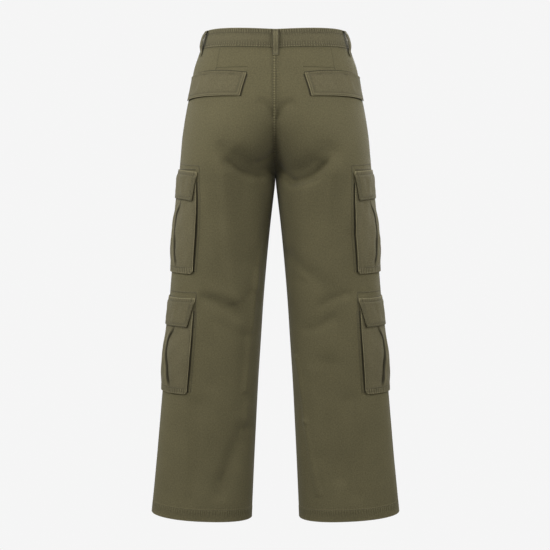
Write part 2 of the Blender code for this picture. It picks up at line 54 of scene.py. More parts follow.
# ---- sizes shared with the solids
SEAM_GAP = 0.0003
RESTING_GAP = 0.0007
ROUNDNESS = 2.15
BAND_TOP, BAND_BOTTOM = 0.0142, -0.024
BAND_MIDDLE = (BAND_TOP + BAND_BOTTOM) / 2
BAND_PROUD = 0.0006
BACK_RISE, FRONT_DIP, WAIST_FADE = 0.004, 0.01, 0.12
RISE_TOP, CROTCH = -0.115, -0.285
PARTING_START, PARTING_END = 1.4, 1.5
HEM, HEM_TILT, HEM_FADE, HEM_DEPTH = -1.0473, 0.0062, 0.24, 0.026
SIDE_SEAM_TURN = 1e-9
FOLD_FADE = 0.1
QUARTER = math.pi / 2
PER_METRE = 1000

LEFT, RIGHT = 1, -1
BACK, FRONT = 1, -1
SIDES, FACES = (LEFT, RIGHT), (BACK, FRONT)
SIDE_NAME = {LEFT: "left", RIGHT: "right"}
FACE_NAME = {BACK: "back", FRONT: "front"}

Array = np.ndarray
Point = tuple[float, float, float]
Pair = tuple[float, float]
Pairs = tuple[Pair, ...]
Floats = tuple[float, ...]
Arrays = tuple[Array, ...]
Colour = tuple[float, float, float, float]
Line = Callable[[Array, float], Array]  # points at shares along a line, and at a lift
Socket = bpy.types.NodeSocket
Material = bpy.types.Material


@dataclass(frozen=True)
class Section:
    """One horizontal ring: half widths and depths from the centre, at a height."""

    z: float
    side: float
    inner: float
    back: float
    front: float


SECTIONS = (
    Section(0.03, 0.149, 0.0, 0.1035, 0.1),
    Section(0.0, 0.155, 0.0, 0.1075, 0.102),
    Section(-0.03, 0.164, 0.0, 0.114, 0.105),
    Section(-0.065, 0.1758, 0.0, 0.1265, 0.1105),
    Section(-0.11, 0.1838, 0.0, 0.14, 0.116),
    Section(-0.16, 0.194, 0.0, 0.144, 0.119),
    Section(-0.21, 0.202, 0.0, 0.1425, 0.1195),
    Section(-0.25, 0.2058, 0.0, 0.1385, 0.119),
    Section(CROTCH, 0.209, 0.0, 0.133, 0.1175),
    Section(-0.309, 0.2112, 0.0012, 0.1285, 0.116),
    Section(-0.348, 0.2138, 0.0056, 0.121, 0.113),
    Section(-0.401, 0.218, 0.0118, 0.113, 0.1085),
    Section(-0.48, 0.225, 0.0196, 0.104, 0.102),
    Section(-0.568, 0.2324, 0.027, 0.096, 0.095),
    Section(-0.657, 0.2394, 0.0328, 0.0895, 0.0885),
    Section(-0.746, 0.2472, 0.0386, 0.0845, 0.0835),
    Section(-0.836, 0.2552, 0.0433, 0.08, 0.079),
    Section(-0.926, 0.2632, 0.0479, 0.076, 0.0752),
    Section(-1.07, 0.2775, 0.0545, 0.0722, 0.072),
)


@dataclass(frozen=True)
class Fold:
    """A soft fold of one panel: a line seen square to it, its width and its height.

    Lengths are in millimetres, and x is measured from the centre plane. A height below
    zero is a trough. bow moves the line's middle aside, fade is the share of the panel
    next to its seams in which the fold dies out, and spread is how many times wider it is
    on the lower side of a line that runs inwards, or the outer side of one that runs down.
    """

    x0: float
    z0: float
    x1: float
    z1: float
    width: float
    height: float
    bow: float = 0.0
    fade: float = FOLD_FADE
    spread: float = 1.0

    def rise(self, x: Array, z: Array, edge: Array) -> Array:
        """How far the fold lifts the cloth.

        Args:
            x: distances from the centre plane.
            z: heights.
            edge: shares of the panel's width between each point and its nearest seam.

        Returns:
            The fold's height at each point.
        """
        x0, z0, x1, z1, width, height, bow = np.array(astuple(self)[:7]) / PER_METRE
        along_x, along_z = x1 - x0, z1 - z0
        length = math.hypot(along_x, along_z)
        along = ((x - x0) * along_x + (z - z0) * along_z) / length
        aside = ((x - x0) * along_z - (z - z0) * along_x) / length
        aside = aside - bow * np.sin(np.clip(along / length, 0.0, 1.0) * math.pi)
        beyond = np.maximum(np.maximum(-along, along - length), 0.0)
        aside = np.where(aside < 0.0, aside / self.spread, aside)
        rise = height * np.exp(-(aside**2 + beyond**2) / width**2)
        return rise * smooth(edge / self.fade)


NEAR_SEAM = 0.015  # creases that start at a seam die out this close to it
FOLDS = {
    (LEFT, BACK): (
        # shared with the solids
        Fold(112, -241, 30, -286, 20, -6.5), Fold(70, -300, 58, -470, 26, -4),
        Fold(140, -560, 84, -592, 20, -3), Fold(66, -850, 112, -960, 24, -3.5),
        # finer, from the seat down
        Fold(100, -266, 30, -297, 8, -4.5, -6, 0.06),
        Fold(34, -266, 6, -246, 6, -4, -2, NEAR_SEAM),
        Fold(30, -140, 6, -168, 8.5, -4.2, 3, NEAR_SEAM, 1.6),
        Fold(86, -560, 108, -290, 12, 4.2, 3, 0.06, 1.6),
        Fold(30, -330, 38, -440, 8, 1.8, 3, NEAR_SEAM),
        Fold(22, -340, 28, -450, 8, -2.8, 2, NEAR_SEAM), Fold(150, -556, 86, -590, 12, -2.6, 4),
        Fold(130, -540, 76, -560, 14, 1.4, 4), Fold(118, -612, 64, -640, 13, -1.8, -5),
        Fold(52, -545, 90, -572, 9.5, -2.4, 3), Fold(30, -440, 44, -540, 4.2, 3.4, 0, 0.08),
        Fold(42, -500, 66, -760, 5.2, 4.4, 1, 0.08), Fold(60, -640, 78, -800, 15, -2.6, 2),
        Fold(62, -792, 70, -866, 4.8, 2.6, 1, 0.08), Fold(70, -850, 120, -985, 15, -4, -6),
        Fold(170, -790, 184, -995, 18, -2.8, 6), Fold(130, -770, 122, -925, 17, 2.2, 5),
    ),
    (RIGHT, BACK): (
        # shared with the solids
        Fold(118, -243, 36, -296, 21, -6.5), Fold(102, -290, 112, -440, 28, -3.5),
        Fold(34, -470, 86, -512, 20, -3), Fold(100, -700, 128, -940, 26, -3),
        # finer, from the seat down
        Fold(104, -270, 32, -307, 8, -4.2, -8, 0.06),
        Fold(34, -306, 4, -270, 6, -4.6, -3, NEAR_SEAM),
        Fold(30, -141, 6, -166, 8.5, -4.2, 3, NEAR_SEAM, 1.6),
        Fold(120, -290, 108, -500, 18, 3.4, 3), Fold(66, -330, 56, -500, 18, 2, 3),
        Fold(160, -420, 154, -540, 13, -2.8, 0),
        Fold(26, -462, 72, -502, 11, -2.2, 4, NEAR_SEAM),
        Fold(30, -498, 58, -522, 10, -1.2, 3, NEAR_SEAM),
        Fold(150, -548, 100, -570, 11, -2.6, 4), Fold(120, -600, 66, -624, 12, -2.4, -4),
        Fold(46, -690, 66, -830, 4.6, 3.6, -1, 0.1), Fold(66, -830, 94, -985, 5.2, 3.6, 1, 0.1),
        Fold(160, -780, 178, -985, 17, -2.8, -6), Fold(86, -720, 94, -880, 16, 2.2, 4),
        Fold(120, -700, 140, -950, 18, -3, 5),
    ),
    (LEFT, FRONT): (
        # shared with the solids
        Fold(20, -246, 100, -214, 20, -5), Fold(34, -290, 110, -300, 22, -4),
        Fold(78, -590, 158, -612, 22, -3.5), Fold(128, -700, 140, -930, 28, -3.5),
        # finer, from the hip down
        Fold(12, -262, 86, -236, 9, -4.2, 4, NEAR_SEAM), Fold(30, -228, 110, -190, 11, -2.8, 5),
        Fold(10, -290, 60, -312, 8, -3.4, 3, NEAR_SEAM), Fold(60, -560, 120, -574, 10, -2.6, 4),
        Fold(90, -626, 168, -640, 11, -3, -4), Fold(96, -340, 104, -520, 16, 2.4, 4),
        Fold(106, -720, 118, -900, 15, 2.2, 5),
    ),
    (RIGHT, FRONT): (
        # shared with the solids
        Fold(22, -250, 108, -222, 21, -5), Fold(30, -286, 98, -304, 22, -4),
        Fold(70, -612, 150, -588, 22, -3.5), Fold(118, -680, 146, -900, 28, -3.5),
        # finer, from the hip down
        Fold(14, -268, 92, -238, 9, -4.2, 5, NEAR_SEAM), Fold(32, -230, 104, -196, 11, -2.8, 4),
        Fold(10, -286, 66, -314, 8, -3.4, 3, NEAR_SEAM), Fold(84, -566, 146, -556, 10, -2.6, 4),
        Fold(60, -636, 128, -622, 11, -2.8, 4), Fold(104, -330, 98, -510, 16, 2.4, 4),
        Fold(158, -760, 170, -930, 15, -2.6, 5),
    ),
}


@dataclass(frozen=True)
class Cleft:
    """The hollow down the centre seam of one face."""

    depth: float
    width: float
    start: float  # the height at which it begins
    ease: float  # over how much height it deepens
    end: float = -0.3
    run_out: float = 0.026  # over how much height it ends again

    def drop(self, x: Array, z: Array) -> Array:
        """How far the cloth lies in at distances from the centre plane and heights."""
        ends = smooth((self.start - z) / self.ease) * smooth((z - self.end) / self.run_out)
        return self.depth * bell(x, self.width) * ends


CLEFTS = {BACK: Cleft(0.007, 0.019, -0.128, 0.06), FRONT: Cleft(0.0035, 0.016, -0.19, 0.05)}


@dataclass(frozen=True)
class SeatFold:
    """Where the seat turns under: a sharp lower edge, and a slow fall above it.

    Every pair is a distance from the centre plane and a height.
    """

    edge: Pairs  # the sharp lower edge
    thigh: Pairs  # the crease that runs on down the thigh
    leg_share: float  # how much of the depth runs on with it
    depth: float = 0.019
    slow: Pairs = (  # how high the fall starts above the edge
        (0.0, 0.142), (0.035, 0.12), (0.062, 0.09), (0.087, 0.05), (0.106, 0.018),
        (0.119, 0.008),
    )
    curve: float = 1.6  # how slowly the fall starts
    across: float = 0.048  # over how much width it reaches its depth
    below: float = 0.008  # width of the sharp side
    run_out: float = 0.3  # how far down the thigh it dies out
    middle: float = 0.35  # share of the depth left at the centre seam
    middle_width: float = 0.03

    def drop(self, x: Array, z: Array) -> Array:
        """How far the cloth lies in under one side of the seat.

        Args:
            x: distances from the centre plane.
            z: heights.

        Returns:
            The drop at each point.
        """
        edge, slow, thigh = (np.array(pairs) for pairs in (self.edge, self.slow, self.thigh))
        above = z - np.interp(x, edge[:, 0], edge[:, 1])
        start = np.interp(x, slow[:, 0], slow[:, 1])
        rise = np.clip(1.0 - above / start, 0.0, 1.0) ** self.curve
        fall = self.leg_share + (1.0 - self.leg_share) * bell(above, self.below)
        fall = fall * (1.0 - smooth(-above / self.run_out))
        outer = np.interp(-z, -thigh[:, 1], thigh[:, 0])
        inwards = np.clip((outer - x) / self.across, 0.0, 1.0)
        calm = self.middle + (1.0 - self.middle) * smooth(x / self.middle_width)
        ends = (1.0 - (1.0 - inwards) ** 2) * calm
        return self.depth * ends * np.where(above > 0.0, rise, fall)


SEAT_FOLDS = {
    LEFT: SeatFold(
        edge=((0.0, -0.296), (0.028, -0.301), (0.052, -0.297), (0.078, -0.286),
              (0.1, -0.268), (0.119, -0.248)),
        thigh=((0.119, -0.25), (0.11, -0.3), (0.101, -0.4), (0.086, -0.56)),
        leg_share=0.92),
    RIGHT: SeatFold(
        edge=((0.0, -0.292), (0.018, -0.302), (0.032, -0.31), (0.058, -0.304),
              (0.084, -0.297), (0.104, -0.274), (0.118, -0.25)),
        thigh=((0.118, -0.25), (0.112, -0.38), (0.098, -0.5)), leg_share=0.38),
}


@dataclass(frozen=True)
class Swell:
    """One slow wave of the whole cloth, counted along x and z in waves a metre."""

    along_x: float
    along_z: float
    start: float
    height: float


SWELLS = (
    Swell(3.1, 5.3, 0.4, 0.00045),
    Swell(-6.7, 3.9, 1.9, 0.00032),
    Swell(9.3, 8.1, 3.3, 0.00022),
    Swell(4.9, -13.7, 5.0, 0.0002),
)
RIPPLES = (  # waves across and down a metre, start and height of each
    (31, 7, 0.0, 1.0), (-17, 19, 1.3, 0.7), (53, -11, 2.1, 0.5),
)
RIPPLE_HEIGHT = 0.0004
HOLLOW_EASE = 0.05  # a hollow deepens over this depth from the side seam


# ---- the garment's form
def smooth(value: Array) -> Array:
    """Ease from 0 to 1 as value does, flat at both ends."""
    value = np.clip(value, 0.0, 1.0)
    return value * value * (3.0 - 2.0 * value)


def bell(distance: Array, width: float) -> Array:
    """1 at no distance, dying out smoothly over about twice the width."""
    return np.exp(-((distance / width) ** 2))


def rolled(radius: float, *distances: Array) -> Array:
    """How far rolled edges have dropped, at distances from each of them."""
    shares = (1.0 - np.clip(distance / radius, 0.0, 1.0) for distance in distances)
    return sum(0.8 * radius * (1.0 - np.sqrt(1.0 - share**2)) for share in shares)


def ripple(across: Array, down: Array) -> Array:
    """Small uneven waves of a washed pocket or flap, as heights."""
    waves = (height * np.sin(2 * math.pi * (wide * across + deep * down) + start)
             for wide, deep, start, height in RIPPLES)
    return RIPPLE_HEIGHT * sum(waves)


def near_edges(length: float, near: Floats, count: int) -> Array:
    """Places along a length: near each of its ends, and a count of even ones between."""
    middle = np.linspace(near[-1], length - near[-1], count + 2)[1:-1]
    return np.concatenate((near, middle, length - np.array(near[::-1])))


def run_along(points: Array) -> Array:
    """The distance of each point from the first, along the line through them."""
    steps = np.linalg.norm(np.diff(points, axis=0), axis=1)
    return np.concatenate(([0.0], np.cumsum(steps)))


def read(where: Array, run: Array, values: Array) -> Array:
    """Rows of values along a line, read at distances from its start."""
    columns = [np.interp(where, run, values[:, k]) for k in range(values.shape[1])]
    return np.stack(columns, axis=-1)


def through(knots: Pairs, share: Array, scale: Pair = (1.0, 1.0)) -> Array:
    """Two rows, read at shares of a line through pairs; scale is the real size of a unit."""
    run = run_along(np.array(knots) * scale)
    return read(share * run[-1], run, np.array(knots)).T


@dataclass
class Form:
    """The trousers' outer form: rings from the section table, parted into two legs."""

    arc_step: float = 0.001
    arc_count: int = 401
    level_step: float = 0.004
    level_top: float = 0.04
    level_count: int = 282
    fullness: float = 0.003  # how far the seat stands out above its fold
    full_at: Pair = (0.08, -0.18)
    full_size: Pair = (0.06, 0.055)
    turn_table: dict[int, Array] = field(default_factory=dict)

    def __post_init__(self) -> None:
        """Tabulate the turn at each distance round the rings, for turn_at_arc."""
        levels = self.level_top - self.level_step * np.arange(self.level_count)
        arcs = self.arc_step * np.arange(self.arc_count)
        for face in FACES:
            rows = [np.interp(arcs, *self.ring_arcs(z, face)) for z in levels]
            self.turn_table[face] = np.array(rows)

    @staticmethod
    def sections(z: Array) -> Array:
        """Read the section table on a smooth curve.

        Args:
            z: heights.

        Returns:
            Side, inner, back and front of the ring at each height.
        """
        table = np.array([(s.z, s.side, s.inner, s.back, s.front) for s in SECTIONS])
        last = len(table) - 2
        index = np.clip(np.searchsorted(-table[:, 0], -z, side="left") - 1, 0, last)
        upper, lower = table[index], table[index + 1]
        before = table[np.maximum(index - 1, 0)]
        after = table[np.minimum(index + 2, last + 1)]
        step = lower[..., :1] - upper[..., :1]
        share = (z[..., None] - upper[..., :1]) / step
        leave = (lower - before) / (lower - before)[..., :1] * step
        arrive = (after - upper) / (after - upper)[..., :1] * step
        rise = lower - upper
        value = upper + leave * share + (3 * rise - 2 * leave - arrive) * share**2
        value = value + (leave + arrive - 2 * rise) * share**3
        return np.moveaxis(value[..., 1:], -1, 0)

    def rings(self, z: Array) -> Arrays:
        """One leg's ring, whole below the crotch and cut by the centre plane above.

        Args:
            z: heights.

        Returns:
            Centre, half width, back depth, front depth and last turn of each ring.
        """
        side, inner, back, front = self.sections(z)
        share = np.clip((RISE_TOP - z) / (RISE_TOP - CROTCH), 0.0, 1.0)
        part = 1.0 - (1.0 - share**PARTING_START) ** PARTING_END
        is_leg = z <= CROTCH
        leg_half = (side - np.maximum(inner, 0.0)) / 2
        half = np.where(is_leg, leg_half, side / (1.0 + part))
        centre = np.where(is_leg, side - leg_half, part * half)
        last = math.pi - np.arccos(np.clip(part ** (ROUNDNESS / 2), -1.0, 1.0))
        return centre, half, back, front, np.where(is_leg, math.pi, last)

    def ring_arcs(self, z: float, face: int) -> Arrays:
        """Distances round one ring from the side seam, and the turns they belong to."""
        turns = np.linspace(0.0, math.pi, 721)
        at = face * turns + face * SIDE_SEAM_TURN
        points = self.place(LEFT, at, np.full_like(turns, z), 0.0, relief=False)
        return run_along(points), turns

    def panel_ring(self, z: float, face: int) -> tuple[Array, Array, float]:
        """Distances round one panel at a height, their turns, and the panel's width."""
        run, turns = self.ring_arcs(z, face)
        last = float(self.rings(np.array(z))[4])
        return run, turns, float(np.interp(last, turns, run))

    def turn_at_arc(self, z: Array, arc: Array) -> Array:
        """Find turns from distances round the rings.

        Args:
            z: heights.
            arc: distances from the side seam, positive towards the back.

        Returns:
            The turns.
        """
        z, arc = np.broadcast_arrays(np.asarray(z, float), np.asarray(arc, float))
        level = np.clip((self.level_top - z) / self.level_step, 0, self.level_count - 1.001)
        step = np.clip(np.abs(arc) / self.arc_step, 0, self.arc_count - 1.001)
        i, j = level.astype(int), step.astype(int)
        di, dj = level - i, step - j
        turn = np.zeros_like(level)
        for face in FACES:
            table = self.turn_table[face]
            upper = table[i, j] * (1 - dj) + table[i, j + 1] * dj
            lower = table[i + 1, j] * (1 - dj) + table[i + 1, j + 1] * dj
            here = upper * (1 - di) + lower * di
            turn = np.where((arc >= 0) == (face == BACK), face * here, turn)
        return turn

    def turn_at_x(self, z: Array, x: Array, face: int) -> Array:
        """The turn at which the ring is x from the centre plane."""
        centre, half, _back, _front, _last = self.rings(np.asarray(z, float))
        across = np.clip((x - centre) / half, -1.0, 1.0)
        return face * np.arccos(np.copysign(np.abs(across) ** (ROUNDNESS / 2), across))

    def relief(self, side: Array, face: Array, x: Array, z: Array, share: Array) -> Array:
        """Add up all folds, creases and slow waves.

        Args:
            side: LEFT or RIGHT.
            face: BACK or FRONT.
            x: distances from the centre plane.
            z: heights.
            share: shares of the panel's width, from its side seam.

        Returns:
            Its height at each point.
        """
        total = np.zeros_like(x)
        edge = np.minimum(share, 1.0 - share)
        for (its_side, its_face), folds in FOLDS.items():
            here = (side == its_side) & (face == its_face)
            if here.any():
                total = total + np.where(here, sum(fold.rise(x, z, edge) for fold in folds), 0.0)
        for swell in SWELLS:
            wave = 2 * math.pi * (swell.along_x * side * x + swell.along_z * z) + swell.start
            total = total + swell.height * np.sin(wave + face) * smooth(edge / FOLD_FADE)
        return total

    def hollow(self, side: Array, face: Array, x: Array, z: Array) -> Array:
        """Add up the hollows along the centre seam and under the seat.

        Args:
            side: LEFT or RIGHT.
            face: BACK or FRONT.
            x: distances from the centre plane.
            z: heights.

        Returns:
            How far in the cloth lies at each point.
        """
        back = CLEFTS[BACK].drop(x, z)
        for number, seat in SEAT_FOLDS.items():
            back = back + np.where((side == number) & (z < 0.0), seat.drop(x, z), 0.0)
        full = self.fullness * bell(x - self.full_at[0], self.full_size[0])
        full = full * bell(z - self.full_at[1], self.full_size[1])
        return np.where(face == BACK, back - full, CLEFTS[FRONT].drop(x, z))

    def place(self, side: Array, turn: Array, z: Array, lift: Array,
              seam: float = SEAM_GAP / 2, relief: bool = True) -> Array:
        """Points of the outer form, moved out by a lift.

        Args:
            side: LEFT or RIGHT.
            turn: angles round the ring, 0 at the side seam and positive to the back.
            z: heights before the waist and hem curves.
            lift: distances outwards.
            seam: space left at the seams.
            relief: whether folds are added.

        Returns:
            Points, with x, y and z along the last axis.
        """
        side, turn, z, lift = np.broadcast_arrays(side, turn, z, lift)
        z = z.astype(float)
        centre, half, back, front, last_turn = self.rings(z)
        face = np.where(turn >= 0, BACK, FRONT)
        depth = np.where(face == BACK, back, front)
        cosine, sine = np.cos(turn), np.abs(np.sin(turn))
        power = 2.0 / ROUNDNESS
        x = centre + half * np.copysign(np.abs(cosine) ** power, cosine)
        y = sine**power * depth
        normal_x = np.copysign(np.abs(cosine) ** (2.0 - power), cosine) / half
        normal_y = sine ** (2.0 - power) / depth
        length = np.hypot(normal_x, normal_y)
        if relief:
            lift = lift + self.relief(side, face, x, z, np.abs(turn) / last_turn)
            y = y - self.hollow(side, face, x, z) * smooth(y / HOLLOW_EASE)
        x = x + seam + lift * normal_x / length
        y = y + seam + lift * normal_y / length
        waist = smooth((z - BAND_BOTTOM + WAIST_FADE) / WAIST_FADE)
        back_rise = BACK_RISE * np.sin(2 * np.clip(turn, 0.0, QUARTER))
        rise = np.where(turn > 0, back_rise, -FRONT_DIP * np.sin(turn) ** 2)
        hem = smooth((HEM + HEM_FADE - z) / HEM_FADE)
        level = z + rise * waist + HEM_TILT * np.cos(turn) * hem
        return np.stack((side * x, face * y, level), axis=-1)


# ---- materials
class Slot(Enum):
    """The record's material slots."""

    TWILL = "twill"
    POCKETS = "twill_pockets"
    BAND = "twill_waistband"
    BUTTON = "button_resin"


class Nodes:
    """A short way to add shader nodes and join them."""

    def __init__(self, name: str) -> None:
        """Start a material with a Principled shader."""
        self.material = bpy.data.materials.new(name)
        self.material.use_nodes = True
        self.tree = self.material.node_tree
        self.shader = self.tree.nodes["Principled BSDF"]

    def add(self, kind: str, links: dict[object, object] | None = None, **values: object
            ) -> bpy.types.Node:
        """Add a node, and set its properties and sockets.

        Args:
            kind: the node's type name without its ShaderNode prefix.
            links: socket names or numbers, each with a value or an output socket.
            values: properties of the node.

        Returns:
            The node.
        """
        node = self.tree.nodes.new("ShaderNode" + kind)
        for key, value in values.items():
            setattr(node, key, value)
        for key, value in (links or {}).items():
            self.join(value, node.inputs[key])
        return node

    def join(self, value: object, socket: Socket) -> None:
        """Give a socket a value, or link an output to it."""
        if isinstance(value, Socket):
            self.tree.links.new(value, socket)
        else:
            socket.default_value = value

    def math(self, operation: str, *values: object) -> Socket:
        """Add a Math node and return its output."""
        return self.add("Math", dict(enumerate(values)), operation=operation).outputs[0]

    def noise(self, vector: Socket, scale: float, detail: float = 2.0) -> Socket:
        """Add a Noise texture and return its value."""
        links = {"Vector": vector, "Scale": scale, "Detail": detail}
        return self.add("TexNoise", links).outputs["Fac"]

    def wave(self, vector: Socket, spacing: float, distortion: float, detail: float,
             detail_scale: float, direction: str = "X") -> Socket:
        """Add a Wave texture, its crests a spacing apart and bent by noise; return its value."""
        links = {"Vector": vector, "Scale": math.pi / 10 / spacing, "Distortion": distortion,
                 "Detail": detail, "Detail Scale": detail_scale}
        return self.add("TexWave", links, bands_direction=direction).outputs["Fac"]

    def stretched(self, vector: Socket, x: float, y: float, turn: float = 0.0) -> Socket:
        """Add a Mapping that scales and turns a vector, and return its output."""
        links = {"Vector": vector, "Scale": (x, y, 1.0), "Rotation": (0.0, 0.0, turn)}
        return self.add("Mapping", links).outputs[0]

    def remap(self, value: Socket, low: float = 0.0, high: float = 1.0, to_low: float = 0.0,
              to_high: float = 1.0) -> Socket:
        """Map a value's range, low to high, onto another, and return the result."""
        links = dict(enumerate((value, low, high, to_low, to_high)))
        return self.add("MapRange", links).outputs[0]

    def mix(self, share: object, low: object, high: object, blend: str = "MIX") -> Socket:
        """Mix two colours and return the result."""
        links = {"Factor": share, "A": low, "B": high}
        return self.add("Mix", links, data_type="RGBA", blend_type=blend).outputs["Result"]

    def bump(self, height: Socket, distance: float, normal: Socket | None = None) -> Socket:
        """Add a Bump node on top of another normal, and return its normal."""
        links = {"Height": height, "Distance": distance, "Strength": 1.0}
        if normal is not None:
            links["Normal"] = normal
        return self.add("Bump", links).outputs["Normal"]

    def finish(self, sockets: dict[str, object]) -> Material:
        """Fill the shader's sockets by name, and return the material."""
        for name, value in sockets.items():
            self.join(value, self.shader.inputs[name])
        return self.material


def tint(colour: Point, factor: float) -> Colour:
    """An opaque colour, made darker or paler by a factor."""
    return tuple(min(part * factor, 1.0) for part in colour) + (1.0,)


@dataclass(frozen=True)
class Twill:
    """Garment-washed cotton twill: ribs, mottled dye, rubbed edges, and painted light and shade on
    puckers, edges and grooves.
    """

    name: str
    colour: Point
    shade: float = 0.74  # share of the colour in the darkest grain
    pale_at_rub_and_highlight: float = 1.8  # how much paler the cloth is where an edge has rubbed, and where a highlight is painted on it
    deep: float = 0.26  # share of the colour left where painted shade is darkest: grooves, slits, and beside and under overlapping pieces
    rib: float = 0.0011  # from one twill rib to the next
    rib_turn: float = math.radians(58)
    rib_height: float = 0.00014
    slub_height: float = 0.00018
    crumple_height: float = 0.0005
    pucker: float = 0.0054  # from one pucker of a sewn edge to the next
    pucker_height: float = 0.0011
    roughness: float = 0.9
    specular: float = 0.18
    sheen: float = 0.06
    sheen_roughness: float = 0.45
    sheen_tint: Colour = (0.86, 0.85, 0.74, 1.0)

    def waves(self, n: Nodes, uv: Socket, direction: str) -> Socket:
        """Uneven puckers that repeat along one direction of the cloth.

        Args:
            n: the material's nodes.
            uv: the cloth's UV map.
            direction: X round the girth, Y along the length.

        Returns:
            The puckers' height.
        """
        where = n.stretched(uv, *((1.0, 0.45) if direction == "X" else (0.45, 1.0)))
        wave = n.wave(where, self.pucker, 5.0, 2.0, 0.55, direction)
        uneven = n.noise(n.stretched(uv, 60.0, 60.0), 1.0, 1.0)
        return n.math("MULTIPLY", wave, n.math("ADD", 0.35, uneven))

    def tone(self, n: Nodes, uv: Socket, slub: Socket) -> Socket:
        """The dye's mottling: fine, with a little slow blotchiness.

        Args:
            n: the material's nodes.
            uv: the cloth's UV map.
            slub: the yarns' uneven thickness.

        Returns:
            The share of the pale colour.
        """
        grain = n.noise(uv, 330.0, 2.0)
        blotch = n.noise(uv, 16.0, 3.0)
        tone = n.math("ADD", n.math("MULTIPLY", grain, 0.62), n.math("MULTIPLY", blotch, 0.14))
        tone = n.math("ADD", tone, n.math("MULTIPLY", slub, 0.24))
        return n.remap(tone, 0.3, 0.7)

    def build(self) -> Material:
        """Make the material, on the cloth's own UV map and marks.

        Returns:
            The material.
        """
        n = Nodes(self.name)
        uv = n.add("UVMap", uv_map="cloth").outputs[0]
        marks = n.add("Attribute", attribute_name="marks", attribute_type="GEOMETRY").outputs
        girth, length, rub_and_highlight = n.add("SeparateColor", {"Color": marks["Color"]}).outputs
        ribs = n.wave(n.stretched(uv, 1.0, 1.0, self.rib_turn), self.rib, 0.8, 1.0, 0.6)
        slub = n.noise(n.stretched(uv, 900.0, 160.0), 1.0, 3.0)
        pucker = n.math("ADD", n.math("MULTIPLY", self.waves(n, uv, "X"), girth),
                        n.math("MULTIPLY", self.waves(n, uv, "Y"), length))
        colour = n.mix(self.tone(n, uv, slub), tint(self.colour, self.shade),
                       tint(self.colour, 2.0 - self.shade))
        colour = n.mix(1.0, colour, n.remap(ribs, to_low=0.94, to_high=1.06), "MULTIPLY")
        # painted light and shade on the puckers: their crests made paler, their hollows darker
        painted_pucker_light = n.mix(1.0, colour, n.remap(pucker, 0.0, 0.8, 0.6, 1.42), "MULTIPLY")
        amount = n.math("MINIMUM", n.math("MAXIMUM", girth, length), 1.0)
        colour = n.mix(amount, colour, painted_pucker_light)
        # paler edges: partly rubbed wear, partly a painted highlight on lit edges and lips
        rub_and_highlight = n.math("MINIMUM", n.math("MULTIPLY", rub_and_highlight, n.math("ADD", 0.55, slub)), 0.9)
        colour = n.mix(rub_and_highlight, colour, tint(self.colour, self.pale_at_rub_and_highlight))
        # painted shade: grooves, slits and seams, and the cloth beside and under overlapping
        # pieces, made darker
        groove = n.math("MULTIPLY", marks["Alpha"], 0.9)
        colour = n.mix(groove, colour, tint(self.colour, self.deep))
        normal = n.bump(pucker, self.pucker_height)
        crumple = n.noise(n.stretched(uv, 60.0, 26.0), 1.0, 3.0)
        normal = n.bump(crumple, self.crumple_height, normal)
        normal = n.bump(slub, self.slub_height, normal)
        return n.finish({
            "Base Color": colour, "Normal": n.bump(ribs, self.rib_height, normal),
            "Roughness": self.roughness, "Specular IOR Level": self.specular,
            "Sheen Weight": self.sheen, "Sheen Roughness": self.sheen_roughness,
            "Sheen Tint": self.sheen_tint})


@dataclass(frozen=True)
class Plain:
    """Thread, resin or a like small thing: one colour, lightly mottled."""

    name: str
    colour: Point
    roughness: float
    grain: float  # how fine the mottling is
    coat: float = 0.0
    shade: float = 0.78
    gleam: float = 1.2
    relief: float = 0.00006

    def build(self) -> Material:
        """Make the material, on Object coordinates."""
        n = Nodes(self.name)
        mottle = n.noise(n.add("TexCoord").outputs["Object"], self.grain, 3.0)
        colour = n.mix(mottle, tint(self.colour, self.shade), tint(self.colour, self.gleam))
        return n.finish({"Base Color": colour, "Normal": n.bump(mottle, self.relief),
                         "Roughness": self.roughness, "Coat Weight": self.coat})


@dataclass(frozen=True)
class Cloth:
    """A cloth's material, the thread that sews it and its slot in the record."""

    material: Material
    thread: Material
    slot: Slot


@dataclass
class Finishes:
    """Every finish of the garment, built once."""

    twill: Cloth
    pockets: Cloth
    band: Cloth
    resin: Material

    @classmethod
    def build(cls) -> "Finishes":
        """Make all materials."""
        thread = Plain("olive_thread", (0.099, 0.088, 0.051), 0.8, 900.0).build()
        twill = Twill("olive_twill", (0.0874, 0.0768, 0.0393)).build()
        pockets = Twill("olive_twill_pockets", (0.0905, 0.0793, 0.0432)).build()
        band = Twill("olive_twill_band", (0.0873, 0.077, 0.0423)).build()
        resin = Plain("olive_resin", (0.04, 0.036, 0.022), 0.33, 260.0, 0.3).build()
        return cls(Cloth(twill, thread, Slot.TWILL), Cloth(pockets, thread, Slot.POCKETS),
                   Cloth(band, thread, Slot.BAND), resin)


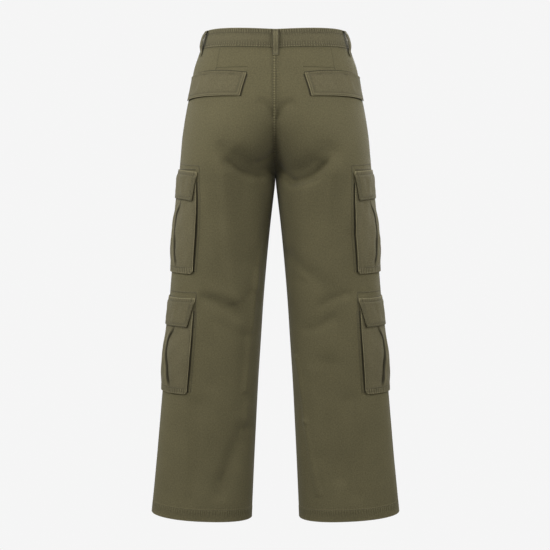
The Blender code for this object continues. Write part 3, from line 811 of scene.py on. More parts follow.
# ---- cloth shells
@dataclass
class Skin:
    """One mesh as arrays: points, faces, a UV place in metres and four marks a point.

    The marks are puckers round the girth and along the length, which also paint light
    and shade on their crests and hollows, rubbed edges with painted highlights, and
    painted shade in grooves, slits and beside overlapping pieces.
    """

    points: Array
    faces: Array
    uv: Array
    marks: Array

    @classmethod
    def joined(cls, skins: Sequence["Skin"]) -> "Skin":
        """Several meshes as one."""
        starts = np.cumsum([0] + [len(skin.points) for skin in skins[:-1]])
        faces = np.concatenate([skin.faces + start for skin, start in zip(skins, starts)])
        points, uv, marks = (np.concatenate([getattr(skin, name) for skin in skins])
                             for name in ("points", "uv", "marks"))
        return cls(points, faces, uv, marks)

    def outwards(self) -> "Skin":
        """The same mesh, turned round if its faces point inwards."""
        a, b, c, d = np.moveaxis(self.points[self.faces], 1, 0)
        spans = np.cross(b - a, c - a) + np.cross(c - a, d - a)
        if np.einsum("ij,ij->", spans, a - self.points.mean(axis=0)) < 0:
            self.faces = self.faces[:, ::-1]
        return self

    def build(self, name: str, material: Material) -> bpy.types.Object:
        """Make a smooth-shaded object.

        Args:
            name: the object's name.
            material: its finish.

        Returns:
            The object, linked to the scene.
        """
        mesh = bpy.data.meshes.new(name)
        mesh.from_pydata(self.points.tolist(), [], self.faces.tolist())
        layer = mesh.uv_layers.new(name="cloth")
        layer.data.foreach_set("uv", self.uv[self.faces.ravel()].ravel())
        colour = mesh.attributes.new("marks", "FLOAT_COLOR", "POINT")
        colour.data.foreach_set("color", self.marks.ravel())
        mesh.materials.append(material)
        mesh.shade_smooth()
        piece = bpy.data.objects.new(name, mesh)
        bpy.context.collection.objects.link(piece)
        return piece


def closed(outer: Array, inner: Array, uv: Array, marks: Array) -> Skin:
    """Close two grids of points into a thin shell.

    Args:
        outer: the outer side's grid.
        inner: the inner side's.
        uv: a UV place for each point of a grid.
        marks: four marks for each point of a grid.

    Returns:
        Both sides and the rim between them.
    """
    rows, columns = outer.shape[:2]
    count = rows * columns
    index = np.arange(count).reshape(rows, columns)
    corners = (index[:-1, :-1], index[:-1, 1:], index[1:, 1:], index[1:, :-1])
    top = np.stack(corners, axis=-1).reshape(-1, 4)
    rim = np.concatenate((index[0], index[1:, -1], index[-1, -2::-1], index[-2:0:-1, 0]))
    following = np.roll(rim, -1)
    side = np.stack((following, rim, rim + count, following + count), axis=-1)
    return Skin(np.concatenate((outer.reshape(-1, 3), inner.reshape(-1, 3))),
                np.concatenate((top, top[:, ::-1] + count, side)),
                np.concatenate((uv.reshape(-1, 2),) * 2),
                np.concatenate((marks.reshape(-1, 4),) * 2))


def marked(grid: Array, girth: Array = 0.0, length: Array = 0.0, rub_and_highlight: Array = 0.0,
           groove: Array = 0.0) -> Array:
    """Four marks for each point of a grid: its puckers, its rubbed edges with painted highlights,
    and its painted shade.
    """
    parts = (girth, length, np.clip(rub_and_highlight, 0.0, 1.0), groove)
    return np.stack([part + np.zeros(grid.shape[:2]) for part in parts], axis=-1)


@dataclass(frozen=True)
class Cut:
    """The flat cut of a cloth piece: its width, its length and its real area."""

    width: float
    length: float
    area: float


def dress(name: str, skin: Skin, cloth: Cloth) -> None:
    """Args:
        name: the solid that it stands for.
        skin: its closed shell.
        cloth: its finish.
    """
    piece = skin.outwards().build(f"twill_{name}", cloth.material)
    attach(piece, "root")
    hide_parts(name)
    LOG.info("%s stands for %s, %d faces", piece.name, name, len(piece.data.polygons))


def on_grid(across: Array, down: Array) -> Array:
    """UV places of a grid, from distances across and down it."""
    return np.stack(np.broadcast_arrays(across, down), axis=-1)


# ---- sewing
@dataclass(frozen=True)
class Stitch:
    """One kind of sewn line: its stitches, and the groove that they pull into the cloth, with
    shade painted into it.
    """

    pitch: float  # from the start of one stitch to the next, 0 for none
    length: float
    half: float  # half width of the groove
    dark: float  # how much of the shade painted into the groove shows at its middle


class Sew(Enum):
    """The kinds of sewn line."""

    # each kind's dark is shade painted into its groove
    TOPSTITCH = Stitch(0.0034, 0.0025, 0.0013, 0.48)
    SEAM = Stitch(0.0, 0.0, 0.0013, 0.8)
    # no stitches: a wide strip of painted shadow, beside a pocket's edge and under a flap's edges
    PAINTED_SHADOW = Stitch(0.0, 0.0, 0.0026, 1.0)
    FAINT = Stitch(0.0, 0.0, 0.0012, 0.45)
    TACK = Stitch(0.00075, 0.0016, 0.0012, 0.6)


@cache
def stitch_bead() -> Arrays:
    """Model one stitch, for copying: a twenty-sided bead, a unit in radius.

    Returns:
        Its points and its faces.
    """
    bpy.ops.object.select_all(action="DESELECT")
    bpy.ops.mesh.primitive_ico_sphere_add(subdivisions=1, radius=1.0)
    bead = bpy.context.object
    points = np.array([vertex.co[:] for vertex in bead.data.vertices])
    faces = np.array([tuple(polygon.vertices) for polygon in bead.data.polygons])
    bpy.data.objects.remove(bead, do_unlink=True)
    return points, faces


@dataclass
class Sewing:
    """All sewn lines of one sub-assembly: a grooved strip of cloth each, with shade painted into
    it, and its threads.
    """

    name: str
    cloth: Cloth
    thread_radius: float = 0.0003
    reading: float = 0.0025  # from one point of a groove to the next
    ahead: float = 0.0004  # how far on a stitch's direction is read
    across: Floats = (-1.0, -0.5, 0.0, 0.5, 1.0)
    heights: Floats = (-0.00006, 0.00014, 0.00003, 0.00014, -0.00006)
    depth: float = 0.00012
    grooves: list[Skin] = field(default_factory=list)
    threads: list[Skin] = field(default_factory=list)

    def line(self, at: Line, kind: Sew = Sew.TOPSTITCH, samples: int = 240) -> None:
        """Sew a line whose points and outward directions come from a function.

        Args:
            at: gives points for shares 0 to 1 along the line, and a lift.
            kind: the kind of line.
            samples: how finely the line is read.
        """
        share = np.linspace(0.0, 1.0, samples)
        points = at(share, 0.0)
        out = at(share, 0.001) - points
        out = out / np.linalg.norm(out, axis=1, keepdims=True)
        run = run_along(points)
        even = np.linspace(0.0, run[-1], max(int(run[-1] / self.reading), 3))
        self.groove(read(even, run, points), read(even, run, out), kind.value)
        if kind.value.pitch:
            starts = np.arange(kind.value.pitch / 2, run[-1], kind.value.pitch)
            ahead = read(starts + self.ahead, run, points)
            self.thread(read(starts, run, points), read(starts, run, out), ahead, kind)

    def groove(self, points: Array, out: Array, stitch: Stitch) -> None:
        """Add the narrow strip of cloth that the stitches pull in, with raised lips and painted
        shade.

        Args:
            points: the line's points.
            out: their outward directions.
            stitch: what the groove is like.
        """
        beside = np.cross(out, np.gradient(points, axis=0))
        beside = beside / np.linalg.norm(beside, axis=1, keepdims=True)
        across, heights = np.array(self.across), np.array(self.heights)
        sides = across * stitch.half
        grid = points[:, None] + beside[:, None] * sides[:, None]
        outer = grid + out[:, None] * heights[:, None]
        inner = grid + out[:, None] * (heights - self.depth)[:, None]
        # painted shade, darkest along the groove's middle
        shade = stitch.dark * np.minimum(1.7 * (1.0 - np.abs(across)), 1.0)
        uv = on_grid(sides[None, :] + points[:, :1], points[:, 2:])
        self.grooves.append(closed(outer, inner, uv, marked(outer, groove=shade)))

    def thread(self, points: Array, out: Array, ahead: Array, kind: Sew) -> None:
        """Lay one small bead of thread in the groove for each stitch.

        Args:
            points: where each stitch begins.
            out: the outward directions there.
            ahead: points a little farther on.
            kind: the kind of line; tacks lie square to it.
        """
        bead, faces = stitch_bead()
        along = ahead - points
        along = along / np.maximum(np.linalg.norm(along, axis=1, keepdims=True), 1e-9)
        axes = [along, np.cross(out, along), out]
        if kind is Sew.TACK:
            axes[:2], faces = axes[1::-1], faces[:, ::-1]
        size = (kind.value.length / 2, self.thread_radius, self.thread_radius)
        centre = points + out * (0.5 * self.thread_radius)
        turned = np.einsum("vk,nkd->nvd", bead * size, np.stack(axes, axis=1))
        points = (centre[:, None] + turned).reshape(-1, 3)
        starts = np.arange(0, len(points), len(bead))[:, None, None]
        zeros = np.zeros((len(points), 4))
        faces = (faces[None] + starts).reshape(-1, 3)
        self.threads.append(Skin(points, faces, zeros[:, :2], zeros))

    def build(self) -> None:
        """Join the lines into one object of grooves with their painted shade, and one of threads,
        which ride along.
        """
        for label, skins, material in (("grooves", self.grooves, self.cloth.material),
                                       ("threads", self.threads, self.cloth.thread)):
            if not skins:
                continue
            piece = Skin.joined(skins).build(f"{self.name}_{label}", material)
            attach(piece, "root")
            LOG.info("%s, %d faces", piece.name, len(piece.data.polygons))


SUNK = 0.0001  # how deep a row of stitches lies in a groove of its own


@dataclass
class Maker:
    """What every sub-assembly is made on and of."""

    form: Form
    finishes: Finishes


# ---- leg panels
@dataclass
class LegPanels(Maker):
    """The four leg panels, from the waistband to the turned hem."""

    cloth: float = 0.001
    hem_cloth: float = 0.0024
    seam_near: Floats = (
        0.0, 0.0004, 0.0009, 0.0016, 0.0028, 0.0042, 0.0052, 0.006, 0.0068, 0.0078, 0.01,
    )
    columns: int = 58
    row_step: float = 0.004
    seat_rows: Pair = (-0.24, -0.32)  # rows are closer between these
    band_near: Floats = (-0.0012, 0.0, 0.0007, 0.0014, 0.0024)
    hem_near: Floats = (0.0, 0.0003, 0.0008, 0.0014, 0.003)
    stitch_near: Floats = (-0.003, -0.0014, -0.0007, 0.0, 0.0007, 0.0014, 0.003)
    fell_width: float = 0.0072  # a felled seam's raised strip
    fell_height: float = 0.0006
    fell_stitch: float = 0.006
    back_cut: Cut = Cut(0.345, 1.03, 0.316)
    front_cut: Cut = Cut(0.322, 1.03, 0.3055)
    darts: tuple[Pairs, ...] = (  # beside and above each back flap
        ((0.1175, -0.026), (0.1245, -0.072)),
        ((0.058, -0.0665), (0.126, -0.069)),
        ((0.126, -0.069), (0.1265, -0.0765)),
    )
    fly: tuple[Pairs, ...] = (
        ((0.042, -0.026), (0.0415, -0.1), (0.0395, -0.132), (0.034, -0.152),
         (0.024, -0.168), (0.012, -0.177), (0.003, -0.18)),
        ((0.033, -0.026), (0.0325, -0.104), (0.031, -0.128), (0.025, -0.146)),
    )

    def rows(self) -> Array:
        """Heights of the grid's rows, closer at the hem and its stitching.

        Returns:
            The heights from the top down.
        """
        upper, lower = self.seat_rows
        plain = np.concatenate((np.arange(BAND_BOTTOM + 0.0012, upper, -self.row_step),
                                np.arange(upper, lower, -self.row_step * 0.6),
                                np.arange(lower, HEM, -self.row_step)))
        special = np.concatenate((BAND_BOTTOM - np.array(self.band_near),
                                  HEM + np.array(self.hem_near),
                                  HEM + HEM_DEPTH + np.array(self.stitch_near), [CROTCH]))
        keep = [z for z in plain if np.min(np.abs(special - z)) > 0.0016]
        return np.sort(np.concatenate((keep, special)))[::-1]

    def build(self) -> None:
        for side in SIDES:
            for face in FACES:
                self.panel(side, face)
        self.sew()

    def grid(self, face: int) -> Arrays:
        """Lay out the grid of one panel.

        Args:
            face: BACK or FRONT.

        Returns:
            Turn, height, distance from the side seam and from the other seam.
        """
        rows = self.rows()
        turns, arcs, rests = [], [], []
        for z in rows:
            run, all_turns, width = self.form.panel_ring(float(z), face)
            arc = near_edges(width, self.seam_near, self.columns)
            turns.append(np.interp(arc, run, all_turns))
            arcs.append(arc)
            rests.append(width - arc)
        turn = face * np.maximum(np.array(turns), SIDE_SEAM_TURN)
        z = np.repeat(rows[:, None], turn.shape[1], axis=1)
        return turn, z, np.array(arcs), np.array(rests)

    def fell(self, distance: Array) -> Array:
        """The raised strip of a felled seam and the groove of its stitches."""
        strip = smooth((self.fell_width - distance) / 0.0014) * self.fell_height
        return strip - 0.0004 * bell(distance - self.fell_stitch, 0.0008)

    def panel(self, side: int, face: int) -> None:
        """Build one panel, with felled seams, a rolled hem and its marks.

        Args:
            side: LEFT or RIGHT.
            face: BACK or FRONT.
        """
        turn, z, arc, rest = self.grid(face)
        lift = self.fell(arc) if face == BACK else 0 * arc
        if side == LEFT or face == FRONT:
            lift = lift + self.fell(rest)
        seams = rolled(self.cloth * 0.8, arc, rest)
        above_hem, below_band = z - HEM, BAND_BOTTOM - z
        in_hem = smooth((HEM_DEPTH + 0.001 - above_hem) / 0.0016)
        lift = lift + 0.0004 * in_hem - 0.0005 * bell(above_hem - HEM_DEPTH, 0.0009)
        thick = self.cloth + (self.hem_cloth - self.cloth) * in_hem
        edge = rolled(self.hem_cloth / 2, above_hem)
        outer = self.form.place(side, turn, z, lift - edge - seams, seam=0.0)
        inner = self.form.place(side, turn, z, lift - thick + edge, seam=0.0)
        seat = (z > CROTCH) & (face == BACK) & (side == LEFT)
        marks = marked(
            outer,
            girth=np.maximum(0.6 * bell(above_hem - HEM_DEPTH + 0.004, 0.0075),
                             0.2 * smooth(1.0 - below_band / 0.008)),
            length=np.maximum(0.5 * smooth(1.0 - arc / 0.01),
                              np.where(seat, 1.0, 0.55) * smooth(1.0 - rest / 0.013)),
            rub_and_highlight=(0.55 * bell(arc, 0.0016) + 0.45 * bell(rest - 0.001, 0.0016)
                 + 0.7 * bell(above_hem, 0.0016)
                 + 0.55 * bell(above_hem - HEM_DEPTH - 0.0012, 0.0014)),
            # painted shadow on the panel just under the waistband's lower edge
            groove=0.85 * bell(below_band - 0.0006, 0.0014))
        uv = on_grid(arc + (0.5 if face == FRONT else 0.0), z)
        dress(f"{FACE_NAME[face]}_panel_{SIDE_NAME[side]}", closed(outer, inner, uv, marks),
              self.finishes.twill)

    def seam(self, side: int, face: int, inset: float, top: float, bottom: float,
             from_side: bool) -> Line:
        """A line beside a seam, for sewing.

        Args:
            side: LEFT or RIGHT.
            face: BACK or FRONT.
            inset: distance from the seam.
            top: height of its upper end.
            bottom: height of its lower end.
            from_side: whether it follows the side seam, or the one opposite.

        Returns:
            The line.
        """
        heights, turns = np.linspace(top, bottom, 160), []
        for z in heights:
            run, all_turns, width = self.form.panel_ring(float(z), face)
            turns.append(np.interp(inset if from_side else width - inset, run, all_turns))
        return partial(self.beside_seam, side, face, heights, turns)

    def beside_seam(self, side: int, face: int, heights: Array, turns: Array, share: Array,
                    lift: float) -> Array:
        """Points of a line beside a seam, from its turns at heights."""
        z = heights[0] + share * (heights[-1] - heights[0])
        turn = face * np.interp(-z, -heights, turns)
        return self.form.place(side, turn, z, 0.4 * self.fell_height + lift)

    def on_panel(self, side: int, face: int, knots: Pairs, share: Array, lift: float) -> Array:
        """Points of a line through distances from the centre plane and heights."""
        x, z = through(knots, share)
        return self.form.place(side, self.form.turn_at_x(z, x, face), z, lift)

    def round_leg(self, side: int, face: int, z: float, share: Array, lift: float) -> Array:
        """Points of a line round one panel at a height."""
        turn = face * (SIDE_SEAM_TURN + share * math.pi)
        return self.form.place(side, turn, z, lift - SUNK)

    def sew(self) -> None:
        """Topstitch the seams, the hems, the darts and the fly."""
        bottom, low, below = HEM + 0.002, CROTCH + 0.004, CROTCH - 0.004
        for side in SIDES:
            sewing = Sewing(f"sewing_leg_{SIDE_NAME[side]}", self.finishes.twill)
            sewing.line(self.seam(side, BACK, self.fell_stitch, -0.03, bottom, True))
            sewing.line(self.seam(side, FRONT, self.fell_stitch, below, bottom, False))
            for face in FACES:
                sewing.line(partial(self.round_leg, side, face, HEM + HEM_DEPTH))
            for dart in self.darts:
                sewing.line(partial(self.on_panel, side, BACK, dart), Sew.FAINT)
            sewing.build()
        sewing = Sewing("sewing_rise", self.finishes.twill)
        sewing.line(self.seam(LEFT, BACK, self.fell_stitch, -0.026, low, False))
        # no stitches: a line of painted shade beside the centre back seam
        sewing.line(self.seam(RIGHT, BACK, 0.0006, -0.026, low, False), Sew.SEAM)
        sewing.line(self.seam(LEFT, FRONT, self.fell_stitch, -0.15, low, False))
        for row in self.fly:
            sewing.line(partial(self.on_panel, LEFT, FRONT, row))
        sewing.build()


# ---- waistband
@dataclass
class Waistband(Maker):
    """The folded waistband, its ends lapped at the front, with puckered stitching."""

    cloth: float = 0.0026
    lap: float = 0.02
    lap_ease: float = 0.018
    lap_step: float = 0.0031
    short_of_end: float = 0.015
    end_near: Floats = (0.0, 0.0004, 0.001, 0.002)
    turns: int = 110
    rows: Floats = (
        0.0, 0.0003, 0.0008, 0.0014, 0.0024, 0.0032, 0.004, 0.0048, 0.006, 0.0095, 0.014,
        0.019, 0.0235, 0.0272, 0.028, 0.0287, 0.0294, 0.0302, 0.033, 0.0356, 0.0368,
        0.0374, 0.0379, 0.0382,
    )
    stitch_rows: Pair = (0.004, 0.0287)
    end_stitch: float = 0.003
    cut: Cut = Cut(0.0382, 0.96, 0.0366)

    def at_front(self, x: float, step: float) -> tuple[int, float, float]:
        """Side, turn and lift at a distance from the centre plane, on the front."""
        turn = float(self.form.turn_at_x(np.array(BAND_MIDDLE), abs(x), FRONT))
        return LEFT if x >= 0 else RIGHT, turn, BAND_PROUD - step

    def stations(self) -> Arrays:
        """Walk round the band, from its under end to its over end.

        Returns:
            Side, turn and lift of each column.
        """
        under = [self.lap - d for d in self.end_near]
        under += list(np.linspace(self.short_of_end, -self.lap, 12))
        stations = [self.at_front(x, self.lap_step) for x in under]
        for share in np.linspace(0.0, 1.0, 9)[1:]:
            step = self.lap_step * float(smooth(np.array(1.0 - share)))
            stations.append(self.at_front(-self.lap - share * self.lap_ease, step))
        start = self.at_front(self.lap + 1.3 * self.lap_ease, 0.0)[1]
        round_side = np.linspace(start, QUARTER, self.turns)
        stations += [(RIGHT, turn, BAND_PROUD) for turn in round_side]
        stations += [(LEFT, turn, BAND_PROUD) for turn in round_side[-2::-1]]
        over = list(np.linspace(self.lap + self.lap_ease, -self.short_of_end, 16))
        over += [-self.lap + d for d in self.end_near[::-1]]
        stations += [self.at_front(x, 0.0) for x in over]
        side, turn, lift = (np.array(column) for column in zip(*stations))
        return side, turn, lift

    def build(self) -> None:
        """Build and sew the band."""
        side, turn, lift = self.stations()
        height, width, radius = np.array(self.rows)[:, None], self.rows[-1], self.cloth / 2
        z = BAND_BOTTOM + height + 0 * lift
        bare = self.form.place(side, turn, z, lift, seam=0.0, relief=False)
        run = run_along(bare[len(self.rows) // 2])
        edge = rolled(radius, height, width - height, run, run[-1] - run)
        grooves = 0.0004 * sum(bell(height - row, 0.0008) for row in self.stitch_rows)
        puff = 0.0003 * bell(height - 0.0165, 0.008)
        outer = self.form.place(side, turn, z, lift + puff - grooves - edge, seam=0.0)
        inner = self.form.place(side, turn, z, lift - self.cloth + edge, seam=0.0)
        marks = marked(
            outer,
            girth=np.maximum(smooth(1.0 - (height - 0.003) / 0.012),
                             0.8 * smooth((height - 0.0225) / 0.008)),
            # both edges paler: rubbed, with a painted highlight along them
            rub_and_highlight=0.75 * np.maximum(bell(height, 0.0012), bell(width - height, 0.0012)))
        dress("waistband", closed(outer, inner, on_grid(run, z), marks), self.finishes.band)
        sewing = Sewing("sewing_waistband", self.finishes.band)
        for row in self.stitch_rows:
            sewing.line(partial(self.round_band, side, turn, lift, row), samples=1800)
        sewing.line(self.down_end)
        sewing.build()

    def round_band(self, side: Array, turn: Array, lifts: Array, row: float, share: Array,
                   lift: float) -> Array:
        """Points of a row of stitches, on the band's columns and above its lower edge."""
        points = self.form.place(side, turn, BAND_BOTTOM + row, lifts + lift - SUNK, seam=0.0)
        return read(2 + share * (len(turn) - 5), np.arange(len(turn)), points)

    def down_end(self, share: Array, lift: float) -> Array:
        """Points of the stitches down the over end."""
        lower, upper = self.stitch_rows
        level = BAND_BOTTOM + lower + share * (upper - lower)
        turn = self.form.turn_at_x(level, self.lap - self.end_stitch, FRONT)
        return self.form.place(RIGHT, turn, level, BAND_PROUD + lift - SUNK, seam=0.0)


# ---- belt loops
@dataclass
class BeltLoops(Maker):
    """Five belt loops, each a folded strip bowed out over the waistband."""

    width: float = 0.014
    cloth: float = 0.0014
    heights: Floats = (
        0.0135, 0.01, 0.0045, -0.0025, -0.0115, -0.0195, -0.0265, -0.0315, -0.041,
    )
    gaps: Floats = (
        0.0011, 0.003, 0.0062, 0.0074, 0.0074, 0.0062, 0.003, RESTING_GAP, RESTING_GAP,
    )
    places: tuple[tuple[str, int, float], ...] = (
        ("side_left", LEFT, 0.036), ("side_right", RIGHT, 0.036),
        ("front_left", LEFT, -0.142), ("front_right", RIGHT, -0.142),
    )
    half_back: float = math.radians(1.0)
    edge_stitch: float = 0.0048
    tack_inset: float = 0.003
    cut: Cut = Cut(0.014, 0.062, 0.00086)

    def build(self) -> None:
        """Build and sew the five loops."""
        sewing = Sewing("sewing_belt_loops", self.finishes.band)
        asides = np.array((-self.width / 2, 0.0, self.width / 2))
        for name, side, arc in self.places:
            self.loop(name, side, self.form.turn_at_arc(0.0, arc + asides), sewing)
        turns = QUARTER + np.array((-self.half_back, 0.0, self.half_back))
        self.loop("back", LEFT, turns, sewing)
        sewing.build()

    def strip(self, side: int, turns: Array, z: Array, lift: Array, across: Array) -> Array:
        """Place points of a loop.

        Args:
            side: LEFT or RIGHT.
            turns: the turns at its first edge, its middle and its last edge.
            z: heights.
            lift: distances outwards.
            across: distances from the loop's middle.

        Returns:
            Points.
        """
        first, middle, last = turns
        z, lift, across = np.broadcast_arrays(z, lift, across)
        centre = self.form.place(side, middle, z, lift, seam=0.0, relief=False)
        ahead = self.form.place(side, last, z, 0.0, seam=0.0, relief=False)
        ahead = ahead - self.form.place(side, first, z, 0.0, seam=0.0, relief=False)
        ahead[..., 2] = 0.0
        ahead = ahead / np.linalg.norm(ahead, axis=-1, keepdims=True)
        return centre + ahead * across[..., None]

    def gap(self, z: Array) -> Array:
        """How far the loop's inner side stands off the garment at heights."""
        return sum(share * np.interp(-(z + shift), -np.array(self.heights), self.gaps)
                   for shift, share in ((-0.0025, 0.25), (0.0, 0.5), (0.0025, 0.25)))

    def loop(self, name: str, side: int, turns: Array, sewing: Sewing) -> None:
        """Build one loop, with its two edge stitches and bar tacks.

        Args:
            name: the end of its name.
            side: LEFT or RIGHT.
            turns: the turns at its edges and middle.
            sewing: gathers its stitches.
        """
        top, bottom = self.heights[0], self.heights[-1]
        length, radius = top - bottom, self.cloth / 2
        down = near_edges(length, (0.0, 0.0003, 0.0008, 0.0016), 40)[:, None]
        across = near_edges(self.width, (0.0, 0.0002, 0.0006, 0.0012, 0.002, 0.0028), 5)
        across = across[None] - self.width / 2
        z, from_side = top - down, self.width / 2 - np.abs(across)
        edge = rolled(radius, from_side, down, length - down)
        crown = 0.00025 * bell(across, 0.004) - 0.0002 * bell(from_side - 0.0022, 0.0006)
        gap = self.gap(z)
        outer = self.strip(side, turns, z, gap + self.cloth + crown - edge, across)
        inner = self.strip(side, turns, z, gap + edge, across)
        # paler inside the side edges and at the foot: rubbed, with a painted highlight; painted
        # shade along the side edges themselves
        marks = marked(outer, rub_and_highlight=0.8 * np.maximum(bell(from_side - 0.003, 0.0014),
                                                   0.6 * bell(length - down, 0.001)),
                       groove=bell(from_side, 0.0011))
        dress(f"belt_loop_{name}", closed(outer, inner, on_grid(across + 0.3, z), marks),
              self.finishes.band)
        for aside in (-self.edge_stitch, self.edge_stitch):
            sewing.line(partial(self.down_edge, side, turns, aside))
        for height in (top - self.tack_inset, bottom + self.tack_inset):
            sewing.line(partial(self.tack, side, turns, height), Sew.TACK)

    def down_edge(self, side: int, turns: Array, aside: float, share: Array, lift: float
                  ) -> Array:
        """Points of the stitches down one edge of a loop."""
        z = self.heights[0] - 0.002 - share * (self.heights[0] - self.heights[-1] - 0.004)
        return self.strip(side, turns, z, self.gap(z) + self.cloth + lift - SUNK, aside)

    def tack(self, side: int, turns: Array, height: float, share: Array, lift: float) -> Array:
        """Points of a bar tack across a loop."""
        across = (share - 0.5) * (self.width - 0.003)
        return self.strip(side, turns, height, self.gap(height) + self.cloth + lift + SUNK, across)


# ---- button
@dataclass
class WaistButton(Maker):
    """A four-hole resin button sewn through the lapped waistband."""

    radius: float = 0.0085
    thickness: float = 0.003
    rim: float = 0.0016
    dish: float = 0.0009
    hole: float = 0.0008
    hole_ring: float = 0.0016
    holes: int = 4
    thread_shifts: Floats = (-0.0003, 0.0, 0.0003)
    buttonhole: Pair = (-0.0015, -0.016)
    buttonhole_half: float = 0.0011

    def seat(self) -> Matrix:
        """Find where the button's back sits on the band.

        Returns:
            The move from its own axes, which face upwards.
        """
        levels = np.array((BAND_MIDDLE, BAND_MIDDLE + self.radius))
        low, high = self.form.place(LEFT, -QUARTER, levels, BAND_PROUD + RESTING_GAP, seam=0.0)
        lean = math.atan2(high[1] - low[1], high[2] - low[2])
        return Matrix.Translation(Vector(low)) @ Matrix.Rotation(QUARTER - lean, 4, "X")

    def build(self) -> None:
        """Model the disc, sink its middle, drill it, and set it on the band."""
        bpy.ops.object.select_all(action="DESELECT")
        bpy.ops.mesh.primitive_cylinder_add(
            vertices=64, radius=self.radius, depth=self.thickness,
            location=(0.0, 0.0, self.thickness / 2))
        button = bpy.context.object
        button.name = "resin_waist_button"
        bpy.ops.object.mode_set(mode="EDIT")
        bpy.ops.mesh.select_all(action="DESELECT")
        bpy.ops.object.mode_set(mode="OBJECT")
        for face in button.data.polygons:
            face.select = face.normal.z > 0.9
        bpy.ops.object.mode_set(mode="EDIT")
        bpy.ops.mesh.inset(thickness=self.rim)
        bpy.ops.mesh.inset(thickness=self.rim / 2)
        bpy.ops.transform.translate(value=(0.0, 0.0, -self.dish))
        bpy.ops.object.mode_set(mode="OBJECT")
        soften = button.modifiers.new("soften", "BEVEL")
        soften.width, soften.segments, soften.limit_method = 0.0004, 3, "ANGLE"
        bpy.ops.object.modifier_apply(modifier=soften.name)
        for number in range(self.holes):
            self.drill(button, (number + 0.5) * 2 * math.pi / self.holes)
        bpy.ops.object.select_all(action="DESELECT")
        button.select_set(True)
        bpy.context.view_layer.objects.active = button
        bpy.ops.object.shade_smooth_by_angle(angle=math.radians(32))
        button.data.transform(self.seat())
        button.data.materials.clear()
        button.data.materials.append(self.finishes.resin)
        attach(button, "root")
        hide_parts("waist_button")
        self.sew()
        LOG.info("button set on the band")

    def drill(self, button: bpy.types.Object, angle: float) -> None:
        """Cut one hole through the disc.

        Args:
            button: the disc.
            angle: where the hole lies on the ring of holes.
        """
        spot = (self.hole_ring * math.cos(angle), self.hole_ring * math.sin(angle), 0.0)
        bpy.ops.object.select_all(action="DESELECT")
        bpy.ops.mesh.primitive_cylinder_add(
            vertices=16, radius=self.hole, depth=4 * self.thickness, location=spot)
        drill = bpy.context.object
        cut = button.modifiers.new("hole", "BOOLEAN")
        cut.object, cut.operation = drill, "DIFFERENCE"
        bpy.context.view_layer.objects.active = button
        bpy.ops.object.modifier_apply(modifier=cut.name)
        bpy.data.objects.remove(drill, do_unlink=True)

    def over_holes(self, seat: Array, x: float, share: Array, lift: float) -> Array:
        """Points of one thread from hole to hole, x across the button."""
        y = (share - 0.5) * 2 * (self.hole_ring * math.sin(math.pi / 4) + self.hole * 0.4)
        spots = np.broadcast_arrays(x, y, self.thickness - self.dish + SUNK + lift, 1.0)
        return (seat @ np.stack(spots))[:3].T

    def beside_hole(self, below: float, share: Array, lift: float) -> Array:
        """Points of one stitched edge of the buttonhole."""
        start, end = self.buttonhole
        x = np.abs(start + share * (end - start))
        turn = self.form.turn_at_x(BAND_MIDDLE, x, FRONT)
        lift = BAND_PROUD + lift + SUNK
        return self.form.place(RIGHT, turn, BAND_MIDDLE + below, lift, seam=0.0)

    def sew(self) -> None:
        """Thread across the holes, and the buttonhole's stitched edge."""
        sewing = Sewing("sewing_button", self.finishes.band)
        seat, ring = np.array(self.seat()), self.hole_ring * math.sin(math.pi / 4)
        for x in (-ring, ring):
            for shift in self.thread_shifts:
                sewing.line(partial(self.over_holes, seat, x + shift), Sew.TACK)
        for below in (-self.buttonhole_half, self.buttonhole_half):
            sewing.line(partial(self.beside_hole, below), Sew.TACK)
        sewing.build()


